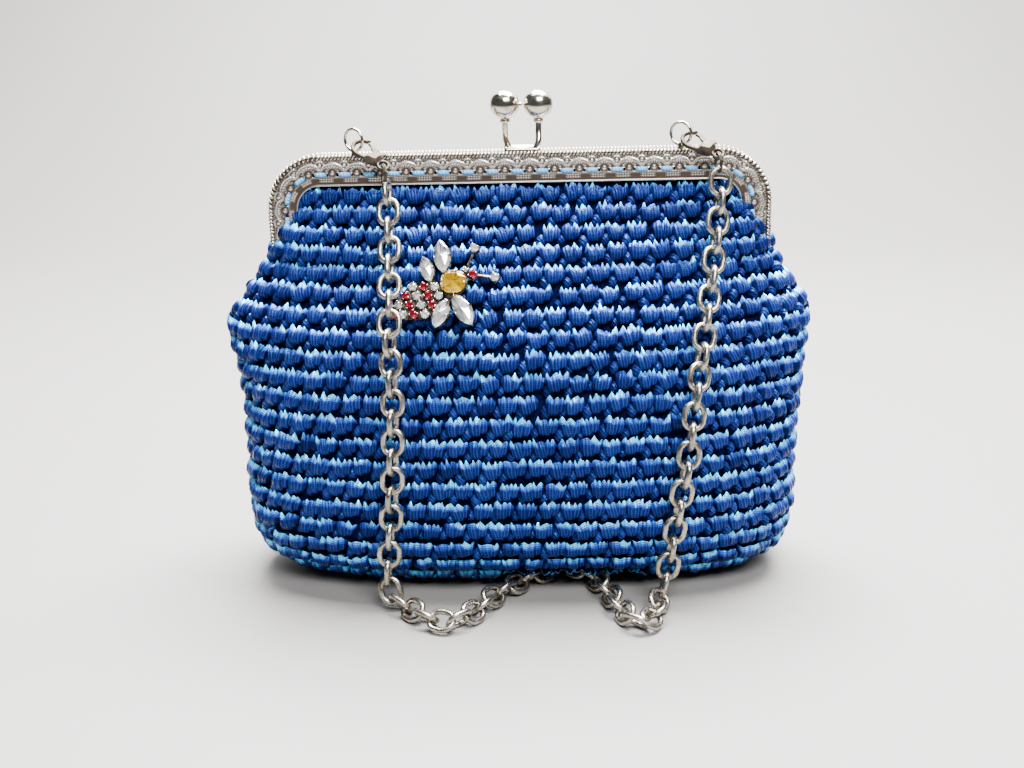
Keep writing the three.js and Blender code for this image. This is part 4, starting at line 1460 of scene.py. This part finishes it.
@dataclass
class Brooch:
    """The bee brooch: stones cut with more facets than the solids, in the same places, and their claws."""

    lean_back: float = 29
    turn_left: float = 12
    claw: float = 0.35
    claw_reach: tuple[float, float] = (0.86, 0.72)
    girdle_sides: int = 16
    pointed_from: float = 1.4
    uneven: float = 0.06
    painted_sparkle_spread: float = 0.25

    def axes(self) -> np.ndarray:
        """Gives the brooch's own directions: to its right, up and out of it.

        Returns:
            Three rows.
        """
        tilt, turn = math.radians(90 - self.lean_back), math.radians(-self.turn_left)
        cos_x, sin_x, cos_z, sin_z = math.cos(tilt), math.sin(tilt), math.cos(turn), math.sin(turn)
        about_x = np.array([[1, 0, 0], [0, cos_x, -sin_x], [0, sin_x, cos_x]])
        about_z = np.array([[cos_z, -sin_z, 0], [sin_z, cos_z, 0], [0, 0, 1]])
        return (about_z @ about_x).T

    def stone(self, node: bpy.types.Object, rng: np.random.Generator) -> tuple[Patch, Patch]:
        """Cuts one stone in the place of its solid.

        Args:
            node: the solid.
            rng: the source of small differences between facets.

        Returns:
            The stone's facets, and its claws.
        """
        axes = self.axes()
        world = np.array([node.matrix_world @ v.co for v in node.data.vertices]) / MM
        local = world @ axes.T
        middle = (local.min(axis=0) + local.max(axis=0)) / 2
        flat = local[:, :2] - middle[:2]
        _, turned = np.linalg.eigh(flat.T @ flat)
        long_axis, short_axis = turned[:, 1], turned[:, 0]
        long_half, short_half = np.abs(flat @ long_axis).max(), np.abs(flat @ short_axis).max()
        low, high = local[:, 2].min(), local[:, 2].max()
        shape = (Cut.CUSHION if "thorax" in node.name else Cut.ROUND).value
        if long_half > self.pointed_from * short_half:
            shape = Cut.POINTED.value
        angle = full_turn(self.girdle_sides)
        sides = ((np.cos(angle), shape.long_power), (np.sin(angle), shape.short_power))
        outline = np.stack([np.sign(c) * np.abs(c) ** power for c, power in sides], axis=1)
        # Each ring's share of the outline and of the height, and whether its corners stand in between
        steps = ((0.97, 0.0, False), (1.0, 0.3, False), (0.78, 0.74, True), (shape.table, 1.0, False))
        rings = []
        for share, height, between in steps:
            ring = (outline + np.roll(outline, -1, axis=0)) / 2 if between else outline
            rise = low + (high - low) * height + rng.normal(0, self.uneven, len(ring)) * between
            spokes = ring[:, :1] * long_half * long_axis + ring[:, 1:] * short_half * short_axis
            rings.append(np.concatenate([middle[:2] + share * spokes, rise[:, None]], axis=1))
        centre = np.concatenate([middle[:2], [high + shape.keel * (high - low)]])
        rings.append(np.repeat(centre[None], self.girdle_sides, axis=0))
        local = np.concatenate(rings)
        # Painted reflection: the lower facets are painted brighter, each facet unevenly
        lower = (middle[1] - local[:, 1]) / np.abs(middle[1] - local[:, 1]).max()
        painted_sparkle = np.clip(0.5 + 0.5 * lower + rng.normal(0, self.painted_sparkle_spread, len(local)), 0, 1)
        facets = Patch(local @ axes, grid_quads(len(rings), self.girdle_sides, True), None, painted_sparkle)
        claws = []
        for spot in rings[1][:: self.girdle_sides // 4, :2]:
            root = np.concatenate([spot, [low - 0.6]])
            inward, upward = self.claw_reach
            tip = np.concatenate([middle[:2] + inward * (spot - middle[:2]), [low + upward * (high - low)]])
            claws.append(tube(np.linspace(root, tip, 5) @ axes, self.claw, 6))
        return facets, joined(claws)

    def build(self) -> None:
        """Cuts the stones colour by colour, sets their claws and dresses the setting."""
        rng = np.random.default_rng(SEED + 2)
        slots = {p["node"]: p["material_slot"] for p in frame["record"]["subparts"]}
        names = [n for n in frame["nodes"] if n.startswith("brooch_") and n != "brooch_setting"]
        claws = []
        for slot in (Slot.CLEAR, Slot.RED, Slot.AMBER):
            chosen = [n for n in names if slots[n] == slot.value]
            facets, held = zip(*(self.stone(frame["nodes"][n], rng) for n in chosen))
            claws += held
            stones = mesh_object(f"brooch_{slot.value}_stones", joined(list(facets)), GLASS[slot], "painted_sparkle")
            stones.data.shade_flat()
            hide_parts(*chosen)
            show(stones)
        show(mesh_object("brooch_claws", joined(claws), NICKEL))
        redress("brooch_setting", SETTING_NICKEL)


@dataclass
class SmallMetal:
    """Clasps, levers, jump rings and rivets: the solids themselves, in cast nickel."""

    kinds: tuple[str, ...] = ("hinge_rivet", "clasp_body", "clasp_lever", "strap_ring")
    cast_mm: float = 0.18
    tumbling: int = 3
    edge_mm: float = 0.2

    def build(self) -> None:
        """Gives each its finish, with the clasps rounded all over and the others along their edges."""
        for name in (f"{kind}_{side}" for kind in self.kinds for side in ("left", "right")):
            node = redress(name, CAST_NICKEL)
            if "clasp" in name:
                cast = node.modifiers.new("cast surface", "REMESH")
                cast.voxel_size = self.cast_mm * MM
                cast.use_smooth_shade = True
                rounded = node.modifiers.new("tumbled edges", "SMOOTH")
                rounded.iterations = self.tumbling
            else:
                soft = node.modifiers.new("softened edges", "BEVEL")
                soft.width = self.edge_mm * MM
                soft.segments = 2


# Camera, floor and light


@dataclass(frozen=True)
class SoftLight:
    """A rectangular soft light: its place, the point that it faces and its size in m, and its watts."""

    name: str
    at: tuple[float, float, float]
    aim: tuple[float, float, float]
    size: tuple[float, float]
    power: float

    def hang(self) -> None:
        """Adds the light to the scene."""
        data = bpy.data.lights.new(self.name, "AREA")
        data.shape = "RECTANGLE"
        data.size, data.size_y = self.size
        data.energy = self.power
        made = bpy.data.objects.new(self.name, data)
        made.location = self.at
        made.rotation_euler = (Vector(self.at) - Vector(self.aim)).to_track_quat("Z", "Y").to_euler()
        bpy.context.scene.collection.objects.link(made)


LIGHTS = (
    SoftLight("window", (0.15, 0.75, 0.8), (0, 0, 0.1), (1.6, 0.8), 20),
    SoftLight("skylight", (0.1, 0.36, 1.22), (0, 0, 0.1), (1.2, 0.8), 340),
    SoftLight("room", (0.3, -0.85, 1.1), (0, 0, 0.08), (0.8, 0.5), 50),
)


@dataclass
class Studio:
    """The camera of the photo, a pale floor and soft light, mostly from above and behind."""

    eye: tuple[float, float, float] = (17.87, -521.63, 229.17)
    pitch: float = 15
    yaw: float = 2
    roll: float = 1.3
    focal_px: float = 1300
    principal: tuple[float, float] = (521, 356.5)
    image: tuple[int, int] = (1024, 768)
    sensor_mm: float = 36
    floor_half: float = 3000
    # Rows of the floor from front to back: it is painted dark as shade up to the second and pale from the
    # fourth
    floor_rows: tuple[float, ...] = (-2500, -1000, -720, -450, 700)
    sweep: float = 500
    wall_top: float = 2500
    sky: str = "#dfe6ee"
    sky_strength: float = 0.14

    def camera(self) -> None:
        """Places the camera so that the middle of the image looks where the photo's does."""
        p, y, r = (math.radians(v) for v in (self.pitch, self.yaw, self.roll))
        back = Vector((math.sin(y) * math.cos(p), -math.cos(y) * math.cos(p), math.sin(p)))
        level = Vector((0, 0, 1)).cross(back).normalized()
        upright = back.cross(level)
        right = level * math.cos(r) - upright * math.sin(r)
        up = upright * math.cos(r) + level * math.sin(r)
        shift_x = (self.image[0] / 2 - self.principal[0]) / self.focal_px
        shift_y = (self.image[1] / 2 - self.principal[1]) / self.focal_px
        aim = (back - right * shift_x + up * shift_y).normalized()
        right = up.cross(aim).normalized()
        up = aim.cross(right)
        data = bpy.data.cameras.new("photo_camera")
        data.sensor_width = self.sensor_mm
        data.lens = self.focal_px / self.image[0] * self.sensor_mm
        data.clip_start = 0.01
        made = bpy.data.objects.new("photo_camera", data)
        axes = Matrix((right, up, aim)).transposed().to_4x4()
        made.matrix_world = Matrix.Translation(Vector(self.eye) * MM) @ axes
        bpy.context.scene.collection.objects.link(made)
        bpy.context.scene.camera = made

    def floor(self) -> None:
        """Lays the floor, which sweeps up far behind the bag."""
        columns = 5
        _, dark, _, pale, back = self.floor_rows
        xs = np.linspace(-self.floor_half, self.floor_half, columns)
        profile = [(y, 0) for y in self.floor_rows]
        for a in np.linspace(0.1, math.pi / 2, 12):
            profile.append((back + self.sweep * math.sin(a), self.sweep * (1 - math.cos(a))))
        profile.append((back + self.sweep, self.wall_top))
        points = np.array([(x, y, z) for y, z in profile for x in xs])
        # Painted shade: the floor darkens towards the front, behind the eye, so that metal and ribbon reflect
        # a dark room
        light = np.clip((points[:, 1] - dark) / (pale - dark), 0, 1)
        patch = Patch(points, grid_quads(len(profile), columns), None, light)
        floor = mesh_object("floor", patch, FLOOR_PAINT)

    def build(self) -> None:
        """Sets camera, floor, sky and lights."""
        self.camera()
        self.floor()
        world = bpy.data.worlds.new("soft sky")
        world.use_nodes = True
        settings = {"Color": to_linear(self.sky), "Strength": self.sky_strength}
        set_up(world.node_tree, world.node_tree.nodes["Background"], settings, {})
        bpy.context.scene.world = world
        for light in LIGHTS:
            light.hang()


def main() -> None:
    """Builds the bag in order, then the studio."""
    logging.basicConfig(level=logging.INFO, format="%(message)s")
    form = BagForm()
    CrochetBody(form).build()
    PurseFrame().build()
    ChainStrap().build()
    SmallMetal().build()
    Brooch().build()
    Studio().build()


if __name__ == "__main__":
    main()
